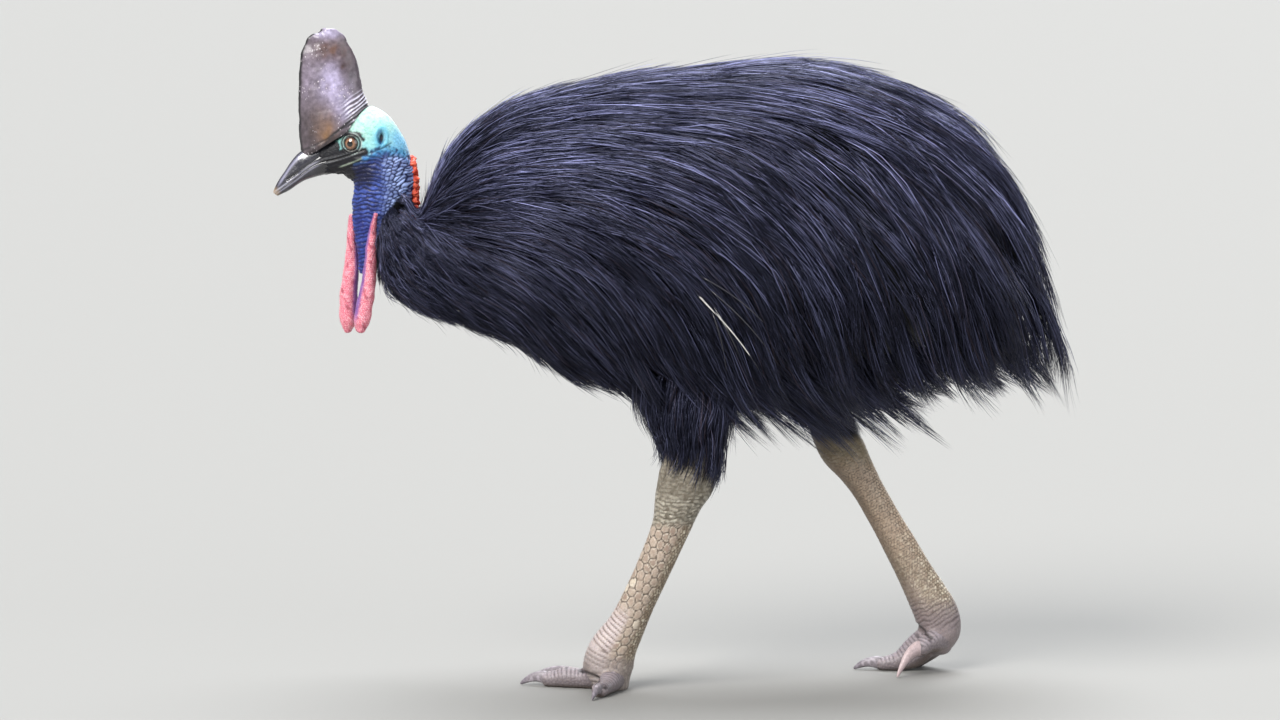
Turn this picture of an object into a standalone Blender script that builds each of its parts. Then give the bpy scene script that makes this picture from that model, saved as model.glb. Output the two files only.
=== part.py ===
"""A southern cassowary, life size, in mid stride, as a still display model.

Metres, +Z up. The bird looks along -X and its left side faces -Y. The origin is on the floor
under the middle of the bird.
"""

import math

import bpy
import bmesh
import numpy as np
from mathutils.bvhtree import BVHTree

GAP = 0.0005            # clear space cut between two pieces that meet
SEED = 11
LEFT, RIGHT = -1, 1     # sign of y on each side

# Trunk without its coat: (x, value) along the body
CORE_BACK = [(-0.474, 0.700), (-0.470, 0.735), (-0.455, 0.768), (-0.432, 0.788), (-0.408, 0.805),
             (-0.385, 0.842), (-0.345, 0.890), (-0.284, 0.932), (-0.200, 0.961), (-0.119, 0.979),
             (0.046, 1.002), (0.211, 1.012), (0.300, 0.998), (0.400, 0.957), (0.470, 0.903),
             (0.520, 0.840), (0.552, 0.765), (0.562, 0.690)]
CORE_BELLY = [(-0.474, 0.700), (-0.464, 0.668), (-0.410, 0.632), (-0.317, 0.600), (-0.251, 0.585),
              (-0.185, 0.558), (-0.100, 0.532), (0.050, 0.512), (0.200, 0.505), (0.330, 0.518),
              (0.430, 0.545), (0.510, 0.592), (0.550, 0.640), (0.562, 0.690)]
CORE_WIDTH = [(-0.474, 0.000), (-0.466, 0.034), (-0.440, 0.054), (-0.400, 0.068), (-0.350, 0.090),
              (-0.284, 0.118), (-0.165, 0.158), (0.000, 0.190), (0.190, 0.206), (0.350, 0.188),
              (0.460, 0.142), (0.530, 0.082), (0.562, 0.000)]
CORE_STATIONS = [-0.470, -0.450, -0.410, -0.355, -0.280, -0.180, -0.050, 0.090, 0.230, 0.350,
                 0.440, 0.505, 0.545, 0.560]
CORE_SIDES = 14

# Whole coat out to its tips: (x, value) along the body
COAT_BACK = [(-0.488, 0.700), (-0.486, 0.735), (-0.470, 0.772), (-0.440, 0.800), (-0.412, 0.815),
             (-0.383, 0.866), (-0.342, 0.916), (-0.284, 0.957), (-0.201, 0.985), (-0.119, 1.003),
             (0.046, 1.026), (0.211, 1.036), (0.277, 1.028), (0.343, 1.010), (0.409, 0.982),
             (0.508, 0.916), (0.574, 0.809), (0.615, 0.701), (0.648, 0.569), (0.660, 0.510)]
COAT_BELLY = [(-0.488, 0.700), (-0.480, 0.660), (-0.449, 0.630), (-0.383, 0.602), (-0.317, 0.578),
              (-0.251, 0.555), (-0.185, 0.508), (-0.119, 0.487), (0.000, 0.470), (0.211, 0.455),
              (0.310, 0.462), (0.409, 0.478), (0.540, 0.485), (0.600, 0.470), (0.640, 0.465),
              (0.660, 0.510)]
COAT_WIDTH = [(-0.488, 0.000), (-0.482, 0.034), (-0.450, 0.064), (-0.400, 0.082), (-0.350, 0.106),
              (-0.284, 0.136), (-0.165, 0.180), (0.000, 0.214), (0.190, 0.232), (0.350, 0.216),
              (0.480, 0.172), (0.580, 0.104), (0.640, 0.040), (0.660, 0.000)]
COAT_STATIONS = [-0.484, -0.468, -0.440, -0.400, -0.345, -0.270, -0.190, -0.090, 0.020, 0.130,
                 0.240, 0.340, 0.430, 0.510, 0.570, 0.615, 0.645, 0.656]

# Legs: (x, distance from the middle plane, z, half depth, half width) down each one
THIGH = {LEFT: [(0.050, 0.080, 0.600, 0.055, 0.034), (0.036, 0.086, 0.540, 0.058, 0.038),
                (0.030, 0.097, 0.460, 0.050, 0.040), (0.026, 0.104, 0.400, 0.040, 0.036),
                (0.024, 0.102, 0.384, 0.038, 0.034)],
         RIGHT: [(0.155, 0.080, 0.600, 0.055, 0.034), (0.180, 0.086, 0.545, 0.056, 0.038),
                 (0.224, 0.098, 0.480, 0.048, 0.040), (0.258, 0.107, 0.424, 0.040, 0.036),
                 (0.266, 0.106, 0.408, 0.038, 0.034)]}
SHANK = {LEFT: [(0.026, 0.103, 0.390, 0.034, 0.029), (0.020, 0.101, 0.352, 0.037, 0.031),
                (0.006, 0.099, 0.318, 0.034, 0.029), (-0.006, 0.096, 0.275, 0.029, 0.023),
                (-0.033, 0.091, 0.206, 0.025, 0.020), (-0.057, 0.086, 0.153, 0.026, 0.021),
                (-0.083, 0.081, 0.102, 0.030, 0.025), (-0.101, 0.077, 0.064, 0.033, 0.030),
                (-0.106, 0.075, 0.036, 0.032, 0.031), (-0.100, 0.075, 0.006, 0.026, 0.025)],
         RIGHT: [(0.262, 0.107, 0.414, 0.034, 0.029), (0.283, 0.105, 0.378, 0.038, 0.031),
                 (0.310, 0.104, 0.337, 0.030, 0.027), (0.334, 0.103, 0.297, 0.026, 0.022),
                 (0.356, 0.102, 0.258, 0.026, 0.020), (0.380, 0.101, 0.216, 0.028, 0.021),
                 (0.405, 0.100, 0.170, 0.030, 0.023), (0.427, 0.100, 0.130, 0.034, 0.027),
                 (0.444, 0.100, 0.096, 0.037, 0.031), (0.450, 0.100, 0.066, 0.034, 0.031),
                 (0.446, 0.100, 0.044, 0.024, 0.024)]}

# Toes: (x, distance from the middle plane, z, half width, half height) out to the claw's root
TOES = {(LEFT, "middle"): [(-0.100, 0.075, 0.0198, 0.022, 0.022), (-0.126, 0.070, 0.0190, 0.022, 0.021),
                           (-0.152, 0.064, 0.0153, 0.018, 0.017), (-0.172, 0.059, 0.0162, 0.019, 0.018),
                           (-0.192, 0.054, 0.0126, 0.015, 0.014), (-0.206, 0.050, 0.0117, 0.014, 0.013)],
        (LEFT, "inner"): [(-0.104, 0.062, 0.0180, 0.018, 0.020), (-0.128, 0.046, 0.0162, 0.018, 0.018),
                          (-0.150, 0.032, 0.0126, 0.015, 0.014), (-0.168, 0.021, 0.0126, 0.015, 0.014)],
        (LEFT, "outer"): [(-0.096, 0.088, 0.0180, 0.018, 0.020), (-0.104, 0.114, 0.0162, 0.018, 0.018),
                          (-0.112, 0.136, 0.0126, 0.015, 0.014), (-0.119, 0.158, 0.0117, 0.014, 0.013)],
        (RIGHT, "middle"): [(0.448, 0.100, 0.052, 0.022, 0.024), (0.426, 0.103, 0.039, 0.022, 0.022),
                            (0.402, 0.106, 0.0190, 0.019, 0.018), (0.378, 0.108, 0.0134, 0.018, 0.016),
                            (0.352, 0.110, 0.0098, 0.014, 0.012)],
        (RIGHT, "inner"): [(0.446, 0.088, 0.054, 0.019, 0.022), (0.436, 0.076, 0.055, 0.018, 0.020),
                           (0.425, 0.066, 0.051, 0.015, 0.016), (0.415, 0.058, 0.044, 0.014, 0.014)],
        (RIGHT, "outer"): [(0.446, 0.112, 0.048, 0.019, 0.022), (0.428, 0.131, 0.030, 0.018, 0.020),
                           (0.411, 0.150, 0.0124, 0.015, 0.015), (0.396, 0.167, 0.0098, 0.013, 0.012)]}
BANDS = 4               # bent plates low on the front of each leg
SCUTE_ROWS = 5          # rows of six-sided plates above them
CLAW_LENGTH = {"middle": 0.046, "inner": 0.078, "outer": 0.038}
TOE_BANDS = {"middle": (0.50, 0.67, 0.84), "inner": (0.60, 0.84), "outer": (0.60, 0.84)}
CLAW_RADIUS = {"middle": 0.0095, "inner": 0.0115, "outer": 0.0085}

# Head and neck, seen from the side: (x, z) points
FACE_PLANE = -0.566     # x where the bill's horn ends and the skin of the face begins
HEAD_TOP = [(-0.566, 0.903), (-0.548, 0.914), (-0.523, 0.942), (-0.502, 0.957), (-0.480, 0.950),
            (-0.462, 0.936), (-0.447, 0.914), (-0.436, 0.893), (-0.430, 0.871)]
HEAD_BOTTOM = [(-0.566, 0.843), (-0.548, 0.845), (-0.523, 0.832), (-0.500, 0.815), (-0.430, 0.815)]
HEAD_WIDTH = [(-0.566, 0.017), (-0.548, 0.023), (-0.526, 0.032), (-0.502, 0.038), (-0.477, 0.039),
              (-0.455, 0.034), (-0.440, 0.026), (-0.430, 0.014)]
HEAD_STATIONS = [-0.566, -0.549, -0.534, -0.518, -0.500, -0.480, -0.460, -0.446, -0.436, -0.431]
NECK_PLANE = ((-0.524, 0.836), (-0.426, 0.859))     # throat and nape ends of the head's underside
NECK = [(-0.478, 0.880, 0.044, 0.036), (-0.476, 0.850, 0.050, 0.040), (-0.474, 0.826, 0.048, 0.038),
        (-0.477, 0.800, 0.048, 0.036), (-0.482, 0.776, 0.045, 0.031), (-0.489, 0.751, 0.037, 0.026),
        (-0.495, 0.726, 0.026, 0.020), (-0.502, 0.704, 0.013, 0.012)]
CULMEN = [(-0.656, 0.814), (-0.650, 0.828), (-0.639, 0.845), (-0.627, 0.863), (-0.614, 0.878),
          (-0.594, 0.889), (-0.566, 0.902)]
GAPE = [(-0.656, 0.811), (-0.640, 0.822), (-0.619, 0.8365), (-0.586, 0.860), (-0.548, 0.871),
        (-0.506, 0.886)]
JAW = [(-0.650, 0.807), (-0.630, 0.8165), (-0.606, 0.832), (-0.576, 0.8415), (-0.566, 0.8435)]
BILL_WIDTH = [(-0.656, 0.003), (-0.640, 0.007), (-0.614, 0.011), (-0.590, 0.014), (-0.566, 0.0172)]
BILL_STATIONS = [-0.653, -0.646, -0.636, -0.624, -0.610, -0.596, -0.580, -0.566]

# Casque: front (x, z), rear (x, z) and half width of each section, from the base up
CASQUE = [((-0.608, 0.868), (-0.492, 0.938), 0.0240), ((-0.613, 0.905), (-0.500, 0.962), 0.0235),
          ((-0.614, 0.945), (-0.508, 0.984), 0.0205), ((-0.612, 0.988), (-0.515, 1.006), 0.0175),
          ((-0.610, 1.026), (-0.523, 1.031), 0.0145), ((-0.605, 1.054), (-0.530, 1.052), 0.0110),
          ((-0.595, 1.070), (-0.538, 1.068), 0.0080), ((-0.578, 1.080), (-0.549, 1.079), 0.0045)]

EYE = (-0.526, 0.896)               # x, z of the eye's middle on the face
EYE_RADIUS = 0.0165
EYE_DEPTH = 0.0112                  # from the face in to the eyeball's centre
FACE_TURN = math.radians(18)        # how far the face at the eye turns forwards
EAR = (-0.477, 0.909)
NOSTRIL = [(-0.633, 0.8350), (-0.624, 0.8410), (-0.615, 0.8480)]
CARUNCLES = 10

# Wattles: (x, z, half depth, half width) down each one, and distance from the middle plane
WATTLE = {LEFT: [(-0.494, 0.782, 0.005, 0.006), (-0.497, 0.766, 0.008, 0.009),
                 (-0.495, 0.735, 0.009, 0.010), (-0.496, 0.700, 0.010, 0.011),
                 (-0.500, 0.660, 0.012, 0.012), (-0.507, 0.622, 0.0135, 0.013),
                 (-0.511, 0.600, 0.0125, 0.012), (-0.513, 0.588, 0.008, 0.008)],
          RIGHT: [(-0.527, 0.772, 0.005, 0.006), (-0.528, 0.756, 0.007, 0.009),
                  (-0.528, 0.725, 0.009, 0.010), (-0.529, 0.690, 0.012, 0.011),
                  (-0.533, 0.650, 0.014, 0.013), (-0.535, 0.612, 0.0145, 0.013),
                  (-0.535, 0.594, 0.012, 0.011), (-0.535, 0.584, 0.007, 0.007)]}
WATTLE_ASIDE = 0.017

WING = [(-0.030, 0.150, 0.752, 0.016, 0.010), (-0.006, 0.172, 0.730, 0.020, 0.014),
        (0.020, 0.194, 0.702, 0.020, 0.014), (0.042, 0.208, 0.678, 0.015, 0.011),
        (0.054, 0.214, 0.666, 0.008, 0.008)]


# Bare wing quills: root (x, z), slope in degrees and length
QUILLS = [((0.022, 0.706), -22, 0.150), ((0.032, 0.694), -34, 0.200), ((0.040, 0.684), -44, 0.230),
          ((0.048, 0.672), -54, 0.210), ((0.054, 0.660), -66, 0.170)]
QUILL_LIFT = 0.013

# Locks of the coat: each ring is (share of its length, share of its width, height of its ridge)
LOCK_RINGS = [(0.00, 0.55, 0.013), (0.28, 0.95, 0.012), (0.60, 0.92, 0.010), (0.85, 0.50, 0.006)]
LOCK_LENGTH = [(-0.474, 0.130), (-0.400, 0.160), (-0.300, 0.220), (-0.150, 0.260), (0.400, 0.275),
               (0.490, 0.430), (0.545, 0.360)]
LOCK_WIDTH = 0.128
ACROSS_STEP = 0.93      # room for a lock across the body, in shares of its width
TIERS = [-0.460, -0.375, -0.270, -0.145, -0.010, 0.130, 0.270, 0.405, 0.490, 0.545]
LOCK_SINK = 0.012
RUMP = 0.540            # x behind which locks hang free of the body
LOCK_SIZE = [(-0.474, 0.52), (-0.400, 0.62), (-0.300, 0.82), (-0.150, 1.00), (0.560, 1.00)]
BELLY_STAGGER = 0.016    # how far each side's roots stand before or behind their row
BELLY_ROOTS = [-0.300, -0.140, 0.020, 0.170, 0.310]
THIGH_TIERS = {LEFT: [0.505, 0.452], RIGHT: [0.520, 0.472]}
THIGH_LOCKS = 4
THIGH_LOCK_LENGTH = 0.155
THIGH_LOCK_WIDTH = 0.088
LOW_LIE = [(-0.480, -45), (-0.370, -30), (-0.200, -50), (-0.090, -65), (0.050, -80), (0.660, -80)]
RISE_SHARE = [(-0.450, 0.15), (-0.330, 1.00), (0.660, 1.00)]


def curve(points, x):
    """Value at x on a smooth line through (x, value) points."""
    xs = np.array([p[0] for p in points], float)
    ys = np.array([p[1] for p in points], float)
    steps = np.diff(ys) / np.diff(xs)
    slopes = np.concatenate([[steps[0]], (steps[1:] + steps[:-1]) / 2, [steps[-1]]])
    turning = np.concatenate([[False], steps[1:] * steps[:-1] <= 0, [False]])
    slopes[turning] = 0.0
    x = min(max(x, xs[0]), xs[-1])
    i = min(int(np.searchsorted(xs, x, side="right")) - 1, len(xs) - 2)
    h = xs[i + 1] - xs[i]
    t = (x - xs[i]) / h
    return float(ys[i] * (1 + 2 * t) * (1 - t) ** 2 + ys[i + 1] * t * t * (3 - 2 * t)
                 + slopes[i] * h * t * (1 - t) ** 2 - slopes[i + 1] * h * t * t * (1 - t))


def unit(v):
    return v / np.linalg.norm(v)


def loft(rings, start=None, end=None):
    """Points and faces of a closed skin over rings of equal count, closed by a point or flat."""
    count = len(rings[0])
    points = [p for ring in rings for p in ring]
    faces = []
    for i in range(len(rings) - 1):
        for j in range(count):
            k = (j + 1) % count
            faces.append((i * count + j, i * count + k, (i + 1) * count + k, (i + 1) * count + j))
    last = (len(rings) - 1) * count
    for tip, ring in ((start, range(count)), (end, range(last, last + count))):
        ring = list(ring)
        if tip is None:
            faces.append(tuple(ring))
            continue
        points.append(tip)
        faces += [(ring[j], ring[(j + 1) % count], len(points) - 1) for j in range(count)]
    return np.array(points, float), faces


def tube(path, sides, across=(0.0, 1.0, 0.0), point=True, start_point=False, grow=0.0, power=2.0):
    """A skin round a bent path of (x, y, z, half depth, half width); the width lies along across."""
    centres = np.array([p[:3] for p in path], float)
    across = np.array(across, float)
    rings = []
    for i, centre in enumerate(centres):
        run = unit(centres[min(i + 1, len(path) - 1)] - centres[max(i - 1, 0)])
        side = unit(across - run * across.dot(run))
        depth = np.cross(run, side)
        rings.append(oval(centre, depth * (path[i][3] + grow), side * (path[i][4] + grow), sides, power))
    ends = []
    for i, j, wanted in ((0, 1, start_point), (-1, -2, point)):
        out = unit(centres[i] - centres[j])
        ends.append(centres[i] + out * (0.55 * path[i][4] + grow) if wanted else None)
        if not wanted:
            rings[i] = rings[i] + out * grow
    return loft(rings, *ends)


def oval(centre, a, b, sides, power=2.0):
    """A ring round a centre with half axes a and b; a power over 2 squares it off."""
    ring = []
    for j in range(sides):
        turn = 2 * math.pi * (j + 0.5) / sides
        c, s = math.cos(turn), math.sin(turn)
        c = math.copysign(abs(c) ** (2 / power), c)
        s = math.copysign(abs(s) ** (2 / power), s)
        ring.append(centre + a * c + b * s)
    return np.array(ring)


def read(shape):
    """Points and faces of a bmesh, which is freed."""
    shape.verts.index_update()
    points = np.array([vert.co[:] for vert in shape.verts])
    faces = [tuple(vert.index for vert in face.verts) for face in shape.faces]
    shape.free()
    return points, faces


def ball(centre, radii, across, down, grow=0.0):
    """A rounded bulb of across x down facets."""
    shape = bmesh.new()
    bmesh.ops.create_uvsphere(shape, u_segments=across, v_segments=down, radius=1.0)
    points, faces = read(shape)
    return points * (np.array(radii) + grow) + np.array(centre), faces


def hoop(centre, a, b, thick, around, sides, grow=0.0):
    """A closed ring of a round section about a centre, with half axes a and b."""
    centre, a, b = (np.array(v, float) for v in (centre, a, b))
    up = unit(np.cross(a, b))
    points, faces = [], []
    for i in range(around):
        turn = 2 * math.pi * i / around
        out = a * math.cos(turn) + b * math.sin(turn)
        for j in range(sides):
            roll = 2 * math.pi * j / sides
            lift = unit(out) * math.cos(roll) + up * math.sin(roll)
            points.append(centre + out + lift * (thick + grow))
    for i in range(around):
        for j in range(sides):
            k, m = (j + 1) % sides, (i + 1) % around
            faces.append((i * sides + j, i * sides + k, m * sides + k, m * sides + j))
    return np.array(points), faces


def trunk(back, belly, width, stations, sides, grow=0.0):
    """A trunk of upright sections between its back and belly lines."""
    rings = []
    for x in stations:
        top, low = curve(back, x), curve(belly, x)
        centre = np.array((x, 0.0, (top + low) / 2))
        rings.append(oval(centre, np.array((0, 0, (top - low) / 2 + grow)),
                          np.array((0, curve(width, x) + grow, 0)), sides, 2.15))
    start = np.array((back[0][0] - grow, 0.0, back[0][1]))
    end = np.array((back[-1][0] + grow, 0.0, back[-1][1]))
    return loft(rings, start, end)


def bridge(top, low, width, stations, sides, grow=0.0):
    """A closed skin of upright sections between two lines, flat at its first end."""
    rings = []
    for i, x in enumerate(stations):
        high, deep = curve(top, x), curve(low, x)
        centre = np.array((x - (grow if i == 0 else 0.0), 0.0, (high + deep) / 2))
        rings.append(oval(centre, np.array((0, 0, (high - deep) / 2 + grow)),
                          np.array((0, curve(width, x) + grow, 0)), sides, 2.2))
    end = rings[-1].mean(axis=0) + np.array((0.004 + grow, 0, 0))
    return loft(rings, None, end)


def mesh_object(name, solid, paint=None):
    """An object of one closed mesh with its faces pointing out."""
    points, faces = solid
    mesh = bpy.data.meshes.new(name)
    mesh.from_pydata([tuple(p) for p in points], [], faces)
    shape = bmesh.new()
    shape.from_mesh(mesh)
    bmesh.ops.triangulate(shape, faces=shape.faces[:], quad_method="FIXED")
    bmesh.ops.recalc_face_normals(shape, faces=shape.faces[:])
    if shape.calc_volume(signed=True) < 0:
        bmesh.ops.reverse_faces(shape, faces=shape.faces[:])
    shape.to_mesh(mesh)
    shape.free()
    thing = bpy.data.objects.new(name, mesh)
    bpy.context.scene.collection.objects.link(thing)
    if paint:
        mesh.materials.append(paint)
    return thing


def keep_largest(mesh):
    """Drops all but the largest closed surface of a mesh."""
    shape = bmesh.new()
    shape.from_mesh(mesh)
    bmesh.ops.triangulate(shape, faces=shape.faces[:])
    seen, groups = set(), []
    for first in shape.faces:
        if first in seen:
            continue
        seen.add(first)
        group, front = [first], [first]
        while front:
            for edge in front.pop().edges:
                if len(edge.link_faces) != 2:
                    continue
                for face in edge.link_faces:
                    if face not in seen:
                        seen.add(face)
                        group.append(face)
                        front.append(face)
        groups.append(group)

    def volume(group):
        return abs(sum(f.verts[0].co.dot(f.verts[1].co.cross(f.verts[2].co)) for f in group))
    groups.sort(key=volume)
    if len(groups) > 1:
        bmesh.ops.delete(shape, geom=[face for group in groups[:-1] for face in group], context="FACES")
    shape.to_mesh(mesh)
    shape.free()


def combine(thing, solids, operation):
    """Joins closed meshes to an object, or cuts them from it, in one Boolean on a collection.

    The manifold solver is used, because so many crossing locks are slow and unsure with the exact one.
    """
    if not solids:
        return
    helpers = bpy.data.collections.new(thing.name + "_helpers")
    bpy.context.scene.collection.children.link(helpers)
    for i, solid in enumerate(solids):
        piece = mesh_object(f"{thing.name}_piece_{i}", solid)
        bpy.context.scene.collection.objects.unlink(piece)
        helpers.objects.link(piece)
    joint = thing.modifiers.new("Join" if operation == "UNION" else "Cut", "BOOLEAN")
    joint.operand_type = "COLLECTION"
    joint.collection = helpers
    joint.operation = operation
    joint.solver = "MANIFOLD"
    bpy.context.view_layer.update()
    result = bpy.data.meshes.new_from_object(thing.evaluated_get(bpy.context.evaluated_depsgraph_get()))
    thing.modifiers.clear()
    paints = list(thing.data.materials)
    thing.data = result
    result.materials.clear()
    for paint in paints:
        result.materials.append(paint)
    for piece in list(helpers.objects):
        bpy.data.objects.remove(piece)
    bpy.data.collections.remove(helpers)
    keep_largest(result)


def node(name, pieces, cutters, paint, grooves=()):
    """One named piece: its solids joined, then cut clear of its neighbours."""
    solids = pieces(0.0)
    thing = mesh_object(name, solids[0], paint)
    combine(thing, solids[1:], "UNION")
    cut = [solid for other in cutters for solid in other(GAP)] + list(grooves)
    for solid in cut:
        combine(thing, [solid], "DIFFERENCE")
    thing.data.name = name
    thing.data.shade_smooth()
    thing.data.set_sharp_from_angle(angle=math.radians(35))
    return thing


def paint(name, colour, roughness):
    made = bpy.data.materials.new(name)
    made.use_nodes = True
    surface = made.node_tree.nodes["Principled BSDF"]
    surface.inputs["Base Color"].default_value = (*colour, 1.0)
    surface.inputs["Roughness"].default_value = roughness
    surface.inputs["Metallic"].default_value = 0.0
    return made


def on_side(points, side):
    """Rows of (x, distance from the middle plane, ...) turned to (x, y, ...)."""
    return [(row[0], row[1] * side) + tuple(row[2:]) for row in points]


def grounded(solid, grow=0.0):
    """The same solid with all that would dip under the floor laid flat on it."""
    points, faces = solid
    points[:, 2] = np.maximum(points[:, 2], -grow)
    return points, faces


def slanted_block(above, grow=0.0):
    """A large block above or below the slanting plane between head and neck."""
    (x0, z0), (x1, z1) = NECK_PLANE
    run = unit(np.array((x1 - x0, 0.0, z1 - z0)))
    up = np.array((-run[2], 0.0, run[0]))
    middle = np.array(((x0 + x1) / 2, 0.0, (z0 + z1) / 2))
    shape = bmesh.new()
    bmesh.ops.create_cube(shape, size=0.24)
    points, faces = read(shape)
    lift = 0.12 - grow if above else grow - 0.12
    return np.array([middle + run * x + np.array((0, y, 0)) + up * (z + lift) for x, y, z in points]), faces


def lie(place, side):
    """Way the coat lies at a place on one side of the body."""
    x, _, z = place
    top, low = curve(COAT_BACK, x), curve(COAT_BELLY, x)
    height = min(max((z - low) / (top - low + 1e-6), 0.0), 1.0)
    rise = math.atan2(curve(COAT_BACK, x + 0.02) - curve(COAT_BACK, x - 0.02), 0.04)
    rise = min(rise, math.radians(55)) * curve(RISE_SHARE, x)
    slope = rise * height + math.radians(curve(LOW_LIE, x)) * (1 - height)
    return np.array((math.cos(slope), side * 0.30 * height, math.sin(slope)))


def follow(tree, root, way, length, lift, inside):
    """Points 1 cm apart from a root on a skin, along a way over it, with the outward direction at each."""
    step = 0.01
    point = np.array(root, float)
    line, outs, gone = [], [], 0.0
    while gone < length:
        near, normal, _, _ = tree.find_nearest(tuple(point))
        near, normal = np.array(near), np.array(normal)
        height = (point - near).dot(normal)
        share = min(gone / 0.06, 1.0)
        wanted = -LOCK_SINK + (lift + LOCK_SINK) * share * (2 - share)
        if height < wanted:
            point = point + normal * (wanted - height)
        elif normal[2] > -0.25 and point[0] < RUMP:
            point = point - normal * (height - wanted) * 0.7
        if gone > 0.05 and not inside(point):
            break
        line.append(point)
        if outs:
            turned = normal.dot(outs[-1]) < 0.3
            outs.append(outs[-1] if turned else unit(outs[-1] + normal))
        else:
            outs.append(normal)
        run = way(point)
        run = run - normal * min(run.dot(normal), 0.0)
        point = point + unit(run) * step
        gone += step
    return np.array(line), np.array(outs)


def lock(line, outs, width, grow, rings=LOCK_RINGS):
    """A flat lock along a line, ridged on its outer face and drawn to a tip."""
    last = len(line) - 1
    points, faces = [], []
    for share, spread, thick in rings:
        place = share * last
        i = min(int(place), last - 1)
        centre = line[i] + (line[i + 1] - line[i]) * (place - i)
        run = unit(line[min(i + 2, last)] - line[max(i - 1, 0)])
        out = outs[i] - run * outs[i].dot(run)
        out = unit(out) if np.linalg.norm(out) > 0.05 else unit(np.cross(run, (0.0, 1.0, 0.0)))
        half = width / 2 * spread
        aside = np.cross(run, out) * (half + grow * (1 + 3 * half / thick))
        points += [centre + aside - out * grow, centre + out * (thick + grow), centre - aside - out * grow]
    run = unit(line[last] - line[last - 1])
    points.append(line[last] + run * grow * 2)
    for i in range(len(rings) - 1):
        a, b = 3 * i, 3 * i + 3
        for j, k in ((0, 1), (1, 2), (2, 0)):
            faces += [(a + j, b + j, b + k), (a + j, b + k, a + k)]
    end = 3 * (len(rings) - 1)
    faces += [(end + j, 3 * len(rings), end + k) for j, k in ((0, 1), (1, 2), (2, 0))]
    faces.append((0, 1, 2))
    points = np.array(points)
    points[:3] -= unit(line[1] - line[0]) * grow
    return points, faces


def skin_tree(solid):
    """A skin to search for the nearest place on it, with its faces turned outwards."""
    points, faces = solid
    middle = points.mean(axis=0)
    volume = sum(np.dot(points[f[0]] - middle, np.cross(points[f[1]] - middle, points[f[2]] - middle))
                 for f in faces)
    if volume < 0:
        faces = [f[::-1] for f in faces]
    return BVHTree.FromPolygons([tuple(p) for p in points], [tuple(f) for f in faces])


def within_coat(drop):
    def inside(place):
        x, _, z = place
        return x < COAT_BACK[-1][0] - 0.004 and z > curve(COAT_BELLY, x) - drop
    return inside


def half_ring(x):
    """Points down one side of the trunk's section at x, from its back to its belly."""
    top, low, wide = curve(CORE_BACK, x), curve(CORE_BELLY, x), curve(CORE_WIDTH, x)
    middle, high = (top + low) / 2, (top - low) / 2
    ring = []
    for i in range(61):
        turn = math.pi * i / 60
        ring.append((x, wide * abs(math.sin(turn)) ** (2 / 2.15),
                     middle + high * math.copysign(abs(math.cos(turn)) ** (2 / 2.15), math.cos(turn))))
    return np.array(ring)


def coat_locks(grow):
    """Tiers of locks over the trunk, from the neck to the rump."""
    draw = np.random.default_rng(SEED + 6)
    tree = skin_tree(trunk(CORE_BACK, CORE_BELLY, CORE_WIDTH, CORE_STATIONS, CORE_SIDES))
    locks = []
    for tier, x in enumerate(TIERS):
        size = curve(LOCK_SIZE, x)
        ring = half_ring(x)
        runs = np.concatenate([[0], np.cumsum(np.linalg.norm(np.diff(ring, axis=0), axis=1))])
        step = LOCK_WIDTH * size * ACROSS_STEP
        count = max(int(round(runs[-1] * 0.93 / step)), 2)
        for k in range(count):
            along = (k + (0.5 if tier % 2 else 0.02)) * runs[-1] * 0.93 / count
            place = np.array([np.interp(along, runs, ring[:, a]) for a in range(3)])
            for side in (LEFT, RIGHT):
                length, width, turn, drop = draw.uniform(-1, 1, 4)
                if k == 0 and tier % 2 == 0 and side == RIGHT:
                    continue
                root = place * (1, side, 1)
                swing = 0.10 * turn

                def way(point, side=side, swing=swing):
                    run = lie(point, side)
                    return run + np.array((-run[2], 0.0, run[0])) * swing
                line, outs = follow(tree, root, way, curve(LOCK_LENGTH, x) * (1 + 0.12 * length),
                                    0.010 + 0.003 * turn, within_coat(0.012 * drop))
                if len(line) > 7:
                    locks.append(lock(line, outs, LOCK_WIDTH * size * (1 + 0.10 * width), grow))
    return locks + belly_locks(tree, draw, grow)


def belly_locks(tree, draw, grow):
    """Locks that lie back along the underside, near its middle and out to the sides by turns."""
    locks = []
    for i, x in enumerate(BELLY_ROOTS):
        size = curve(LOCK_SIZE, x)
        for side in (LEFT, RIGHT):
            length, width, turn = draw.uniform(-1, 1, 3)
            aside = curve(CORE_WIDTH, x) * (0.18 if i % 2 else 0.50)
            root, normal, _, _ = tree.find_nearest((x + side * BELLY_STAGGER, side * aside, 0.2))
            root = root - normal * LOCK_SINK
            run = np.array((1.0, side * 0.05 * turn, -0.10))
            reach = curve(LOCK_LENGTH, x) * (0.85 + 0.10 * length)
            line, outs = follow(tree, root, lambda point, run=run: run, reach, 0.012,
                                lambda point: point[0] < 0.52)
            locks.append(lock(line, outs, LOCK_WIDTH * size * (1.05 + 0.10 * width), grow))
    return locks


def torso(grow):
    return [trunk(CORE_BACK, CORE_BELLY, CORE_WIDTH, CORE_STATIONS, CORE_SIDES, grow)] + coat_locks(grow)


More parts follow.
